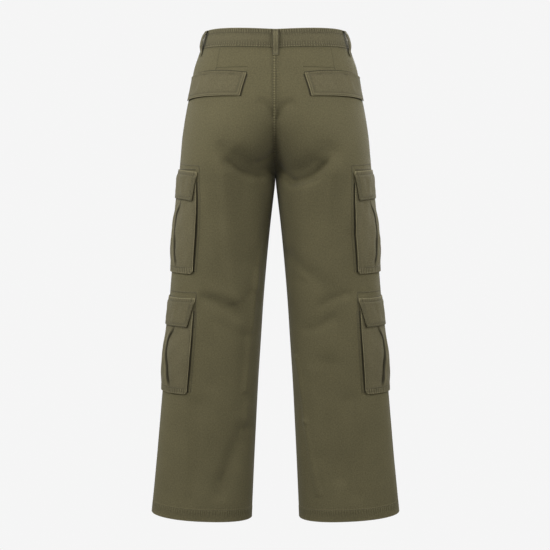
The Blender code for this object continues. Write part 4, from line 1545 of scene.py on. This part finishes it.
# ---- back flaps
@dataclass
class BackFlaps(Maker):
    """The flaps over the two back pockets."""

    cloth: float = 0.002
    share: Floats = (0.0, 0.18, 0.55, 0.92, 1.0)
    inner_x: Floats = (0.0605, 0.063, 0.0685, 0.0735, 0.0745)
    outer_arc: Floats = (0.024, 0.023, 0.021, 0.018, 0.02)
    inner_z: Floats = (-0.079, -0.0875, -0.1045, -0.1225, -0.1262)
    middle_z: Floats = (-0.0755, -0.0845, -0.1035, -0.1225, -0.1265)
    outer_z: Floats = (-0.084, -0.093, -0.1115, -0.13, -0.1338)
    lifts: Floats = (0.0, 0.0002, 0.0008, 0.0018, 0.002)
    end_lift: float = 0.4
    width: float = 0.156
    height: float = 0.05
    near: Floats = (0.0, 0.0003, 0.0008, 0.0015, 0.0024, 0.004, 0.0062, 0.007, 0.0078)
    stitch_rows: Pair = (0.0024, 0.007)
    cut: Cut = Cut(0.165, 0.062, 0.0095)

    def rest(self, u: Array, v: Array) -> Array:
        """How far a flap's under side stands off the panel."""
        bend = self.end_lift + (1 - self.end_lift) * 4 * u * (1 - u)
        return RESTING_GAP + np.interp(v, self.share, self.lifts) * bend

    def at(self, side: int, u: Array, v: Array, lift: Array) -> Array:
        """Place points of a flap.

        Args:
            side: LEFT or RIGHT.
            u: share of the way from its inner to its outer end.
            v: share of the way from its top to its free edge.
            lift: distance outwards from its under side.

        Returns:
            Points.
        """
        columns = (self.inner_x, self.outer_arc, self.inner_z, self.middle_z, self.outer_z)
        inner_x, outer_arc, inner_z, middle_z, outer_z = (
            np.interp(v, self.share, column) for column in columns)
        z = inner_z + u * (outer_z - inner_z)
        z = z + 4 * u * (1 - u) * (middle_z - (inner_z + outer_z) / 2)
        start = self.form.turn_at_x(z, inner_x, BACK)
        turn = start + u * (self.form.turn_at_arc(z, outer_arc) - start)
        return self.form.place(side, turn, z, self.rest(u, v) + lift)

    def build(self) -> None:
        """Build and sew both flaps."""
        along = near_edges(self.width, self.near, 52)[None]
        down = near_edges(self.height, self.near, 20)[:, None]
        u, v = along / self.width, down / self.height
        sides, low = np.minimum(along, self.width - along), self.height - down
        near = np.minimum(sides, low)
        edge = rolled(self.cloth / 2, along, self.width - along, low)
        grooves = 0.0004 * sum(bell(near - row, 0.0007) for row in self.stitch_rows)
        body = self.cloth + 0.0003 * bell(near - 0.0046, 0.002) - grooves
        body = body + ripple(along, down) * smooth((near - 0.0085) / 0.01) * smooth(v * 4)
        tuck = 0.001 * bell(down, 0.003)
        for side in SIDES:
            outer = self.at(side, u, v, body - edge + tuck)
            inner = self.at(side, u, v, edge + 0 * u)
            marks = marked(
                outer,
                girth=0.35 * bell(low, 0.009) + 0.35 * bell(down, 0.006),
                length=0.3 * bell(sides, 0.009),
                # paler edges: rubbed, with a painted highlight where they are lit
                rub_and_highlight=(bell(near, 0.002) + 0.45 * bell(near - 0.0048, 0.0014)
                     + 0.25 * bell(down, 0.002)),
                # painted shade in the stitch grooves
                groove=0.5 * (bell(near - 0.0026, 0.0008) + bell(near - 0.007, 0.001)))
            dress(f"back_flap_{SIDE_NAME[side]}",
                  closed(outer, inner, on_grid(along, -down), marks), self.finishes.pockets)
            self.sew(side)

    def on_flap(self, side: int, knots: Pairs, share: Array, lift: float) -> Array:
        """Points of a line on top of a flap."""
        u, v = through(knots, share, (self.width, self.height))
        return self.at(side, u, v, self.cloth + lift)

    def under_flap(self, side: int, knots: Pairs, share: Array, lift: float) -> Array:
        """Points of the shade on the panel beside a flap."""
        u, v = through(knots, share, (self.width, self.height))
        return self.at(side, u, v, lift - self.rest(u, v))

    def sew(self, side: int) -> None:
        """Sew one flap: two rows inside its free edges, one along its top, and its shade.

        Args:
            side: LEFT or RIGHT.
        """
        sewing = Sewing(f"sewing_back_flap_{SIDE_NAME[side]}", self.finishes.pockets)
        for inset in self.stitch_rows:
            u, v = inset / self.width, 1 - inset / self.height
            knots = ((u, 0.03), (u, v), (1 - u, v), (1 - u, 0.03))
            sewing.line(partial(self.on_flap, side, knots), samples=500)
        sewing.line(partial(self.on_flap, side, ((0.01, 0.11), (0.99, 0.11))))
        # painted shadow on the panel along the flap's top and beside its inner and lower edges
        over, along = 0.0012 / self.height, 0.0012 / self.width
        for knots in (((-0.003, -over), (1.003, -over)), ((-along, 0.05), (-along, 1 + over)),
                      ((-along, 1 + over), (1.0, 1 + over))):
            sewing.line(partial(self.under_flap, side, knots), Sew.PAINTED_SHADOW)
        sewing.build()


# ---- front pocket edges
@dataclass
class FrontPocketEdges(Maker):
    """The folded edges of the two slanted front pockets."""

    width: float = 0.009
    cloth: float = 0.0012
    top: float = -0.0235
    drop: float = 0.158
    start_arc: float = -0.078
    run: float = 0.066
    curve: float = 1.15
    stitch_rows: Pair = (0.0022, 0.007)
    tacks: Pair = (0.03, 0.985)
    cut: Cut = Cut(0.01, 0.176, 0.00165)

    def at(self, side: int, share: Array, offset: Array, lift: Array) -> Array:
        """Points of an edge: share down it, offset across it."""
        z = self.top - self.drop * share
        arc = self.start_arc + self.run * share**self.curve - offset
        return self.form.place(side, self.form.turn_at_arc(z, arc), z, RESTING_GAP + lift)

    def build(self) -> None:
        """Build and sew both edges."""
        across = near_edges(self.width, (0.0, 0.0003, 0.0008, 0.0014, 0.0022), 4)[None]
        down = near_edges(1.0, (0.0, 0.002, 0.006), 70)[:, None]
        edge = rolled(self.cloth / 2, across, self.width - across)
        groove = 0.0003 * sum(bell(across - row, 0.0006) for row in self.stitch_rows)
        for side in SIDES:
            outer = self.at(side, down, across, self.cloth - edge - groove)
            inner = self.at(side, down, across, edge + 0 * down)
            marks = marked(outer, length=0.5, rub_and_highlight=0.9 * bell(across, 0.0014))
            uv = on_grid(across, -down * self.drop)
            dress(f"front_pocket_edge_{SIDE_NAME[side]}", closed(outer, inner, uv, marks),
                  self.finishes.twill)
            sewing = Sewing(f"sewing_front_pocket_{SIDE_NAME[side]}", self.finishes.twill)
            for inset in self.stitch_rows:
                sewing.line(partial(self.stitch, side, ((0.0, inset), (1.0, inset))))
            for share in self.tacks:
                knots = ((share, 0.0), (share, self.width))
                sewing.line(partial(self.stitch, side, knots), Sew.TACK)
            sewing.build()

    def stitch(self, side: int, knots: Pairs, share: Array, lift: float) -> Array:
        """Points of a line on an edge."""
        down, across = through(knots, share)
        return self.at(side, down, across, self.cloth + lift)


# ---- cargo pockets
@dataclass(frozen=True)
class CargoPlace:
    """Where a cargo pocket sits on the leg, and how far it reaches round it."""

    name: str
    side: int
    flap_top: float
    body_top: float
    body_bottom: float
    back_arc: float
    front_arc: float
    lean: float  # both side edges move this far to the front on the way down
    droop: float  # the flap's ends hang this much lower than its middle
    margin: float  # from the pocket's edge to the stitched frame round the flap
    cut: Cut

    @property
    def middle(self) -> float:
        """Distance of the pocket's middle from the side seam, at its mouth."""
        return (self.back_arc + self.front_arc) / 2

    @property
    def reach(self) -> float:
        """Half the pocket's width."""
        return (self.back_arc - self.front_arc) / 2

    @property
    def height(self) -> float:
        """From the pocket's mouth down to its lower edge."""
        return self.body_top - self.body_bottom

    def middle_at(self, share: Array) -> Array:
        """Distance of the pocket's middle from the side seam at shares of its height."""
        return self.middle - self.lean * share

    def hang(self, drop: Array, aside: Array) -> Array:
        """Heights of points of the flap, drop below its top and aside from its middle."""
        return self.flap_top - drop - self.droop * (aside / self.reach) ** 2


CARGO_PLACES = (
    CargoPlace("upper_left", LEFT, -0.281, -0.2975, -0.503, 0.1225, -0.082, 0.012, 0.004,
               0.008, Cut(0.224, 0.214, 0.0473)),
    CargoPlace("upper_right", RIGHT, -0.2815, -0.298, -0.503, 0.1215, -0.082, 0.0115, 0.0025,
               0.008, Cut(0.223, 0.214, 0.0469)),
    CargoPlace("lower_left", LEFT, -0.557, -0.5735, -0.7655, 0.112, -0.081, 0.009, -0.0015,
               0.005, Cut(0.212, 0.201, 0.0423)),
    CargoPlace("lower_right", RIGHT, -0.557, -0.5735, -0.7655, 0.106, -0.081, 0.0065, -0.0015,
               0.005, Cut(0.206, 0.201, 0.0411)),
)


@dataclass(frozen=True)
class PocketRow:
    """A cargo pocket's outer side at one height: lifts across it and its pleats."""

    share: float
    edge: float
    lip: float
    groove: float
    centre: float
    pleat: float


POCKET_ROWS = (
    PocketRow(0.0, 0.0024, 0.0024, 0.0024, 0.0025, 0.05),
    PocketRow(0.14, 0.0026, 0.0026, 0.0024, 0.0028, 0.05),
    PocketRow(0.27, 0.0034, 0.0031, 0.0023, 0.0034, 0.046),
    PocketRow(0.4, 0.0048, 0.0044, 0.0022, 0.006, 0.03),
    PocketRow(0.53, 0.0058, 0.0056, 0.0022, 0.008, 0.028),
    PocketRow(0.66, 0.0062, 0.006, 0.0022, 0.0088, 0.037),
    PocketRow(0.8, 0.0058, 0.0052, 0.0022, 0.007, 0.042),
    PocketRow(0.91, 0.0048, 0.0042, 0.0036, 0.0048, 0.048),
    PocketRow(0.97, 0.0042, 0.004, 0.0039, 0.0042, 0.05),
    PocketRow(1.0, 0.0036, 0.0036, 0.0036, 0.0036, 0.051),
)
ROW_BLUR = (-0.035, -0.0175, 0.0, 0.0175, 0.035)


def row_at(share: Array) -> PocketRow:
    """Read the table of pocket rows on smooth curves.

    Args:
        share: shares of the pocket's height.

    Returns:
        A row whose values are arrays.
    """
    shares, *columns = np.array([astuple(row) for row in POCKET_ROWS]).T
    reads = [np.clip(share + shift, 0.0, 1.0) for shift in ROW_BLUR]
    return PocketRow(share, *(sum(np.interp(read_at, shares, column) for read_at in reads)
                              / len(reads) for column in columns))


@dataclass
class CargoPockets(Maker):
    """The four bellows pockets with their pleats, gussets and flaps."""

    cloth: float = 0.0009
    pleat_width: float = 0.003
    undercut: float = 0.003
    corner_cut: float = 0.005
    corner_start: float = 0.968
    hem_strip: float = 0.013  # the stitched strip along the pocket's lower edge
    foot_columns: int = 9  # columns of each gusset, whose inner side lies farther in
    flap_cloth: float = 0.0018
    flap_height: float = 0.0625
    flap_drops: Floats = (0.0, 0.007, 0.011, 0.03, 0.058, 0.0625)
    flap_insets: Floats = (-0.003, -0.003, -0.001, 0.0045, 0.0115, 0.014)
    flap_lifts: Floats = (0.0005, 0.001, 0.0033, 0.0038, 0.0044, 0.0044)
    flap_strip: float = 0.008  # the folded strip along the flap's top
    frame_rise: float = 0.0125  # the stitched frame's line above the flap
    frame_drop: float = 0.062  # how far below the flap's top it ends
    near: Floats = (0.0, 0.0003, 0.0008, 0.0015, 0.0022, 0.004, 0.0058, 0.0066, 0.0074)
    stitch_rows: Pair = (0.0018, 0.0066)
    side_stitch: float = 0.0024

    def build(self) -> None:
        """Build and sew the four pockets and their flaps."""
        for place in CARGO_PLACES:
            self.pocket(place)
            self.flap(place)
            self.surround(place)

    def on_leg(self, place: CargoPlace, arc: Array, z: Array, lift: Array) -> Array:
        """Points at distances from the side seam, heights and lifts."""
        return self.form.place(place.side, self.form.turn_at_arc(z, arc), z, lift)

    def half(self, row: PocketRow, reach: Array) -> Arrays:
        """Follow one half of the pocket, from its foot in to its middle.

        Args:
            row: the pocket's lifts and pleats at each height.
            reach: half its width there.

        Returns:
            Distances from the pocket's middle, and lifts.
        """
        edge, lip, groove, centre, pleat = row.edge, row.lip, row.groove, row.centre, row.pleat
        width, at_lip = self.pleat_width, pleat + self.pleat_width
        face, depth = reach - at_lip, edge - RESTING_GAP
        open_pleat = smooth((centre - groove) / 0.004)
        points = (
            (reach - self.undercut, RESTING_GAP + 0 * edge),
            (reach - 0.6 * self.undercut, RESTING_GAP + 0.3 * depth),
            (reach - 0.0008, RESTING_GAP + 0.75 * depth),
            (reach, edge - 0.0005),
            (reach - 0.0004, edge + 0.0001),
            (reach - 0.0014, edge + 0.0003),
            (reach - 0.0024, edge - 0.0001),
            (reach - 0.005, edge + 0.0002),
            (reach - 0.0085, edge * 1.04),
            (at_lip + 0.7 * face, edge * 1.05),
            (at_lip + 0.45 * face, 0.75 * edge + 0.25 * lip),
            (at_lip + 0.2 * face, 0.35 * edge + 0.65 * lip),
            (at_lip + 0.003, lip + 0.0001),
            (at_lip + 0.0012, lip + 0.0003 * open_pleat),
            (at_lip + 0.0004, lip - 0.0001),
            (at_lip + 0.0006, (lip + groove) / 2),
            (at_lip + 0.0004, groove),
            (pleat + 0.0008, groove),
            (pleat + 0.0002, (lip + groove) / 2),
            (pleat - 0.0006, lip),
            (pleat - width, (centre + lip) / 2),
            (pleat - 2.6 * width, 0.75 * centre + 0.25 * lip),
            (0.45 * pleat, centre),
            (0.2 * pleat, centre),
        )
        arcs, lifts = (np.stack([point[k] + 0 * edge for point in points], -1) for k in (0, 1))
        return arcs, lifts

    def reach_at(self, place: CargoPlace, share: Array) -> Array:
        """Half the pocket's width at shares of its height, less at its cut corners."""
        into_corner = (share - self.corner_start) / (1.0 - self.corner_start)
        return place.reach - self.corner_cut * smooth(into_corner)

    def columns(self, place: CargoPlace, share: Array) -> Arrays:
        """Lay out the pocket's columns.

        Args:
            place: the pocket.
            share: shares of its height.

        Returns:
            Arc and lift of each column at each height.
        """
        row, middle = row_at(share), place.middle_at(share)[..., None]
        asides, half = self.half(row, self.reach_at(place, share))
        arcs = np.concatenate((middle + asides, middle, middle - asides[..., ::-1]), axis=-1)
        lifts = np.concatenate((half, row.centre[..., None], half[..., ::-1]), axis=-1)
        return self.finer(arcs), self.finer(lifts)

    @staticmethod
    def finer(values: Array) -> Array:
        """The same with another column halfway between each two."""
        between = (values[:, 1:] + values[:, :-1]) / 2
        return np.insert(values, np.arange(1, values.shape[1]), between, axis=1)

    def pocket(self, place: CargoPlace) -> None:
        """Build a bellows pocket: face, pleats, gussets and floor, open at its mouth.

        Args:
            place: the pocket.
        """
        length = place.height
        down = near_edges(length, (0.0, 0.0003, 0.0008, 0.0015, 0.0025), 70)
        share = np.concatenate((down / length, [1.0, 1.0, 1.0]))
        floor = np.concatenate((np.zeros(len(down)), (0.4, 0.75, 1.0)))[:, None]
        arcs, lifts = self.columns(place, share)
        z = place.body_top - share[:, None] * length + floor * self.undercut + 0 * arcs
        low = length * (1.0 - share[:, None])
        strip = 0.0003 * smooth((self.hem_strip - low) / 0.002)
        strip = strip - 0.0004 * bell(low - self.hem_strip, 0.0009)
        inside = smooth((lifts - RESTING_GAP) / 0.0015)
        lifts = lifts + strip * inside - rolled(0.0008, low) * inside * (1 - floor)
        aside = np.abs(arcs - place.middle_at(share)[:, None])
        from_edge = place.reach - aside
        calm = smooth((from_edge - 0.004) / 0.01) * smooth((low - self.hem_strip - 0.001) / 0.01)
        lifts = lifts + 1.4 * ripple(arcs + place.lean, z) * calm * smooth(3 * share[:, None])
        lifts = lifts + floor * (RESTING_GAP - lifts)
        outer = self.on_leg(place, arcs, z, lifts)
        number = np.minimum(np.arange(arcs.shape[1]), np.arange(arcs.shape[1])[::-1])
        inset = np.where(number < self.foot_columns, self.cloth, 0.0) * np.sign(arcs)
        under_z = z + self.cloth * (share[:, None] >= 1.0)
        under = np.maximum(lifts - self.cloth, RESTING_GAP)
        inner = self.on_leg(place, arcs - inset, under_z, under)
        row = row_at(share)
        from_pleat = aside - row.pleat[:, None]
        is_open = smooth((row.lip - row.groove) / 0.0016)[:, None]
        # painted highlight along the pleat's lip
        lip = is_open * bell(from_pleat + 2.1 * self.pleat_width, 0.002)
        # painted shade in the pleat
        pleat_painted_shade = is_open * np.minimum(1.8 * bell(from_pleat + 0.0005, 0.004), 1.0)
        drop = place.hang(z, aside)
        # painted shadow on the pocket beside the flap's edges
        painted_shadow_beside_flap = bell(from_edge - np.interp(drop, self.flap_drops, self.flap_insets), 0.0034)
        painted_shadow_beside_flap = painted_shadow_beside_flap * smooth((drop - 0.008) / 0.01) * smooth((0.067 - drop) / 0.005)
        shadow = 1.0 - smooth((lifts - RESTING_GAP) / 0.0016)
        marks = marked(
            outer,
            girth=0.8 * smooth((self.hem_strip + 0.004 - low) / 0.006),
            length=0.45 * bell(from_edge - 0.0015, 0.004),
            rub_and_highlight=(0.8 * bell(from_edge, 0.0022) + 0.7 * bell(low, 0.0018)) * inside + 0.6 * lip,
            groove=np.maximum(np.maximum(0.8 * shadow, pleat_painted_shade), 0.85 * painted_shadow_beside_flap))
        dress(f"cargo_pocket_{place.name}", closed(outer, inner, on_grid(arcs + 1.0, z), marks),
              self.finishes.pockets)

    def flap_at(self, place: CargoPlace, u: Array, drop: Array, lift: Array) -> Array:
        """Place points of a flap.

        Args:
            place: the pocket.
            u: share of the way from its back to its front edge.
            drop: distance below its top.
            lift: distance outwards from its under side.

        Returns:
            Points.
        """
        reads = [np.interp(drop + shift, self.flap_drops, self.flap_lifts)
                 for shift in (-0.002, 0.0, 0.002)]
        inset = np.interp(drop, self.flap_drops, self.flap_insets)
        aside = (1 - 2 * u) * (place.reach - inset)
        lift = sum(reads) / len(reads) + lift
        return self.on_leg(place, place.middle + aside, place.hang(drop, aside), lift)

    @staticmethod
    def curl(sides: Array, drop: Array) -> Array:
        """How far a flap's lower corners curl up, near its sides."""
        return 0.0012 * bell(sides, 0.012) * smooth((drop - 0.03) / 0.03)

    def flap(self, place: CargoPlace) -> None:
        """Build a flap, with a folded strip along its top and rolled free edges.

        Args:
            place: the pocket.
        """
        width, height, radius = 2 * place.reach, self.flap_height, self.flap_cloth / 2
        along = near_edges(width, self.near, 60)[None]
        strip_edge = self.flap_strip + np.array((-0.0006, 0.0006))
        down = np.sort(np.concatenate((near_edges(height, self.near, 24), strip_edge)))[:, None]
        low, sides = height - down, np.minimum(along, width - along)
        near = np.minimum(sides, low)
        edge = rolled(radius, along, width - along, low) + 0.6 * rolled(radius, down)
        grooves = 0.0004 * sum(bell(near - row, 0.0007) for row in self.stitch_rows)
        strip = 0.0006 * smooth((self.flap_strip - down) / 0.002)
        strip = strip - 0.0006 * bell(down - self.flap_strip, 0.001)
        body = self.flap_cloth + strip - grooves + 0.0003 * bell(near - 0.0042, 0.002)
        inside = smooth((near - 0.008) / 0.01) * smooth((down - self.flap_strip - 0.002) / 0.008)
        body = body + ripple(along + place.middle, down) * inside
        curl = self.curl(sides, down)
        outer = self.flap_at(place, along / width, down, body + curl - edge)
        inner = self.flap_at(place, along / width, down, curl + edge)
        marks = marked(
            outer,
            girth=0.4 * bell(low, 0.008) + 0.55 * bell(down - 0.006, 0.006),
            length=0.4 * bell(sides, 0.008),
            # paler edges: rubbed, with a painted highlight where they are lit
            rub_and_highlight=0.95 * bell(near, 0.0022) + 0.8 * bell(down, 0.0018),
            # painted shade in the stitch groove
            groove=0.45 * bell(near - 0.0068, 0.0012))
        dress(f"cargo_flap_{place.name}", closed(outer, inner, on_grid(along + 2.0, -down), marks),
              self.finishes.pockets)

    def on_flap(self, place: CargoPlace, knots: Pairs, share: Array, lift: float) -> Array:
        """Points of a line on a flap, through shares of its width and drops."""
        u, drop = through(knots, share, (2 * place.reach, 1.0))
        curl = self.curl(np.minimum(u, 1 - u) * 2 * place.reach, drop)
        return self.flap_at(place, u, drop, self.flap_cloth + curl + lift)

    def along_strip(self, place: CargoPlace, share: Array, lift: float) -> Array:
        """Points of the stitches along the flap's folded strip."""
        lift = self.flap_cloth + lift - 0.0003
        return self.flap_at(place, share * 0.99 + 0.005, self.flap_strip, lift)

    def on_pocket(self, place: CargoPlace, sign: int, knots: Pairs, share: Array, lift: float
                  ) -> Array:
        """Read a line on a pocket's face.

        Args:
            place: the pocket.
            sign: BACK or FRONT, the half it lies on.
            knots: shares of the pocket's height, and distances inside its edge.
            share: shares of the line.
            lift: distance outwards.

        Returns:
            Points.
        """
        down, inset = through(knots, share, (place.height, 1.0))
        z = place.body_top - down * place.height
        arc = place.middle_at(down) + sign * (self.reach_at(place, down) - inset)
        return self.on_leg(place, arc, z, row_at(down).edge + lift)

    def beside(self, place: CargoPlace, knots: Pairs, share: Array, lift: float) -> Array:
        """Points of a line on the leg, through arcs and heights."""
        return self.on_leg(place, *through(knots, share), lift)

    def surround(self, place: CargoPlace) -> None:
        """Sew the flap, the pocket's face and the leg around them.

        Args:
            place: the pocket.
        """
        sewing = Sewing(f"sewing_cargo_{place.name}", self.finishes.pockets)
        for inset in self.stitch_rows:
            u, v = inset / (2 * place.reach), self.flap_height - inset
            knots = ((u, 0.01), (u, v), (1 - u, v), (1 - u, 0.01))
            sewing.line(partial(self.on_flap, place, knots), samples=600)
        sewing.line(partial(self.along_strip, place))
        strip = 1.0 - self.hem_strip / place.height
        for sign in FACES:
            for knots in (((0.3, self.side_stitch), (0.99, self.side_stitch)),
                          ((strip, 0.001), (strip, place.reach))):
                sewing.line(partial(self.on_pocket, place, sign, knots))
        for sign in FACES:
            for knots, kind in self.frame(place, sign):
                sewing.line(partial(self.beside, place, knots), kind)
        # no stitches: painted shade in the crease along the flap's top
        edge, top = place.reach - 0.002, place.flap_top + 0.0006
        knots = ((place.middle + edge, top), (place.middle - edge, top))
        sewing.line(partial(self.beside, place, knots), Sew.SEAM)
        sewing.build()

    def frame(self, place: CargoPlace, sign: int) -> tuple[tuple[Pairs, Sew], ...]:
        """Lay out the lines on the leg beside one half of a pocket.

        Args:
            place: the pocket.
            sign: BACK or FRONT, the half.

        Returns:
            Arcs and heights of each line, and its kind: the stitched frame round the flap,
            the painted shadow of the gap beside the pocket, and the faint seam beyond.
        """
        edge = place.middle + sign * place.reach
        end, top = edge + sign * place.margin, place.flap_top + self.frame_rise
        corner, low = (end, top - place.droop), (end - 0.003, place.flap_top - self.frame_drop)
        slit_shadow = np.array(((edge + sign * 0.0004, place.flap_top - 0.026),
                         (edge - place.lean + sign * 0.0004, place.body_bottom + 0.004)))
        return ((((place.middle, top), corner), Sew.TOPSTITCH), ((corner, low), Sew.TOPSTITCH),
                (slit_shadow, Sew.PAINTED_SHADOW), (slit_shadow + (sign * 0.0066, 0.0), Sew.FAINT))


# ---- stage
@dataclass(frozen=True)
class Lamp:
    """A square soft light: where it stands, what it is aimed at, its size and its power."""

    name: str
    at: Point
    to: Point
    size: float
    power: float


LAMPS = (
    Lamp("left", (2.0, 1.9, 0.95), (0.0, 0.0, -0.32), 1.4, 70.0),
    Lamp("right", (-2.0, 1.9, 0.95), (0.0, 0.0, -0.32), 1.4, 47.0),
    Lamp("left_rim", (2.4, 0.3, 0.8), (0.0, 0.0, -0.3), 1.4, 41.0),
    Lamp("right_rim", (-2.4, 0.3, 0.8), (0.0, 0.0, -0.3), 1.4, 41.0),
    Lamp("back_fill", (0.0, 4.0, -0.6), (0.0, 0.0, -0.5), 2.0, 45.0),
    Lamp("front", (-1.4, -2.8, 1.2), (0.0, 0.0, -0.35), 2.4, 140.0),
    Lamp("front_left", (1.8, -2.6, 1.0), (0.0, 0.0, -0.35), 2.4, 60.0),
)
WHITE = (1.0, 1.0, 1.0, 1.0)


@dataclass
class Stage:
    """Camera, soft studio light and a plain pale floor."""

    camera_at: Point = (0.0011, 3.2, -0.238)
    look_at: Point = (0.0011, 0.0, -0.513)
    lens: float = 95.56
    sensor: float = 36.0
    floor: float = -1.45
    pale: float = 0.915  # how bright the floor and backdrop show
    ambient: float = 0.16  # how much soft light comes from all round
    below: float = 0.45  # share of it that comes from below
    above: float = 1.55  # and from above
    wide: float = 40.0
    tones: str = "Standard"  # plain tones, so that the backdrop stays pale

    def build(self) -> None:
        """Set the stage."""
        bpy.context.scene.view_settings.view_transform = self.tones
        data = bpy.data.cameras.new("camera")
        data.lens, data.sensor_width = self.lens, self.sensor
        bpy.context.scene.camera = self.aimed(data, self.camera_at, self.look_at)
        self.surroundings()
        self.world()
        for lamp in LAMPS:
            data = bpy.data.lights.new(lamp.name, "AREA")
            data.size, data.energy = lamp.size, lamp.power
            self.aimed(data, lamp.at, lamp.to)

    @staticmethod
    def aimed(data: bpy.types.ID, at: Point, to: Point) -> bpy.types.Object:
        """Set up a camera or a light.

        Args:
            data: the camera or light.
            at: where it stands.
            to: the point that it is aimed at.

        Returns:
            Its object.
        """
        thing = bpy.data.objects.new(data.name, data)
        bpy.context.collection.objects.link(thing)
        thing.location = at
        thing.rotation_euler = (Vector(to) - Vector(at)).to_track_quat("-Z", "Y").to_euler()
        return thing

    def surroundings(self) -> None:
        """A wide pale floor and a pale backdrop all round, which light nothing."""
        n = Nodes("pale_studio")
        n.tree.nodes.remove(n.shader)
        glow = n.add("Emission", {"Color": WHITE, "Strength": self.pale})
        n.join(glow.outputs[0], n.tree.nodes["Material Output"].inputs["Surface"])
        bpy.ops.object.select_all(action="DESELECT")
        bpy.ops.mesh.primitive_plane_add(size=self.wide, location=(0.0, 0.0, self.floor))
        floor = bpy.context.object
        floor.name = "floor"
        bpy.ops.mesh.primitive_uv_sphere_add(
            segments=48, ring_count=24, radius=self.wide * 0.45, location=(0.0, 0.0, 0.0))
        backdrop = bpy.context.object
        backdrop.name = "backdrop"
        for piece in (floor, backdrop):
            piece.data.materials.append(n.material)
            piece.visible_diffuse = piece.visible_glossy = False
            piece.visible_transmission = piece.visible_shadow = False

    def world(self) -> None:
        """Soft light from all round, more of it from above."""
        world = bpy.data.worlds.new("studio")
        bpy.context.scene.world = world
        world.use_nodes = True
        tree = world.node_tree
        shown = tree.nodes["Background"]
        where = tree.nodes.new("ShaderNodeTexCoord")
        split = tree.nodes.new("ShaderNodeSeparateXYZ")
        rise = tree.nodes.new("ShaderNodeMapRange")
        rise.inputs["From Min"].default_value = -1.0
        rise.inputs["To Min"].default_value = self.ambient * self.below
        rise.inputs["To Max"].default_value = self.ambient * self.above
        tree.links.new(where.outputs["Generated"], split.inputs[0])
        tree.links.new(split.outputs["Z"], rise.inputs["Value"])
        tree.links.new(rise.outputs[0], shown.inputs["Strength"])
        shown.inputs["Color"].default_value = WHITE


def main() -> None:
    """Build the stage and every piece."""
    logging.basicConfig(level=logging.INFO, format="%(name)s: %(message)s")
    Stage().build()
    finishes = Finishes.build()
    form = Form()
    for maker in (LegPanels, Waistband, BeltLoops, WaistButton, BackFlaps, FrontPocketEdges,
                  CargoPockets):
        maker(form, finishes).build()
        LOG.info("%s done", maker.__name__)


if __name__ == "__main__":
    main()
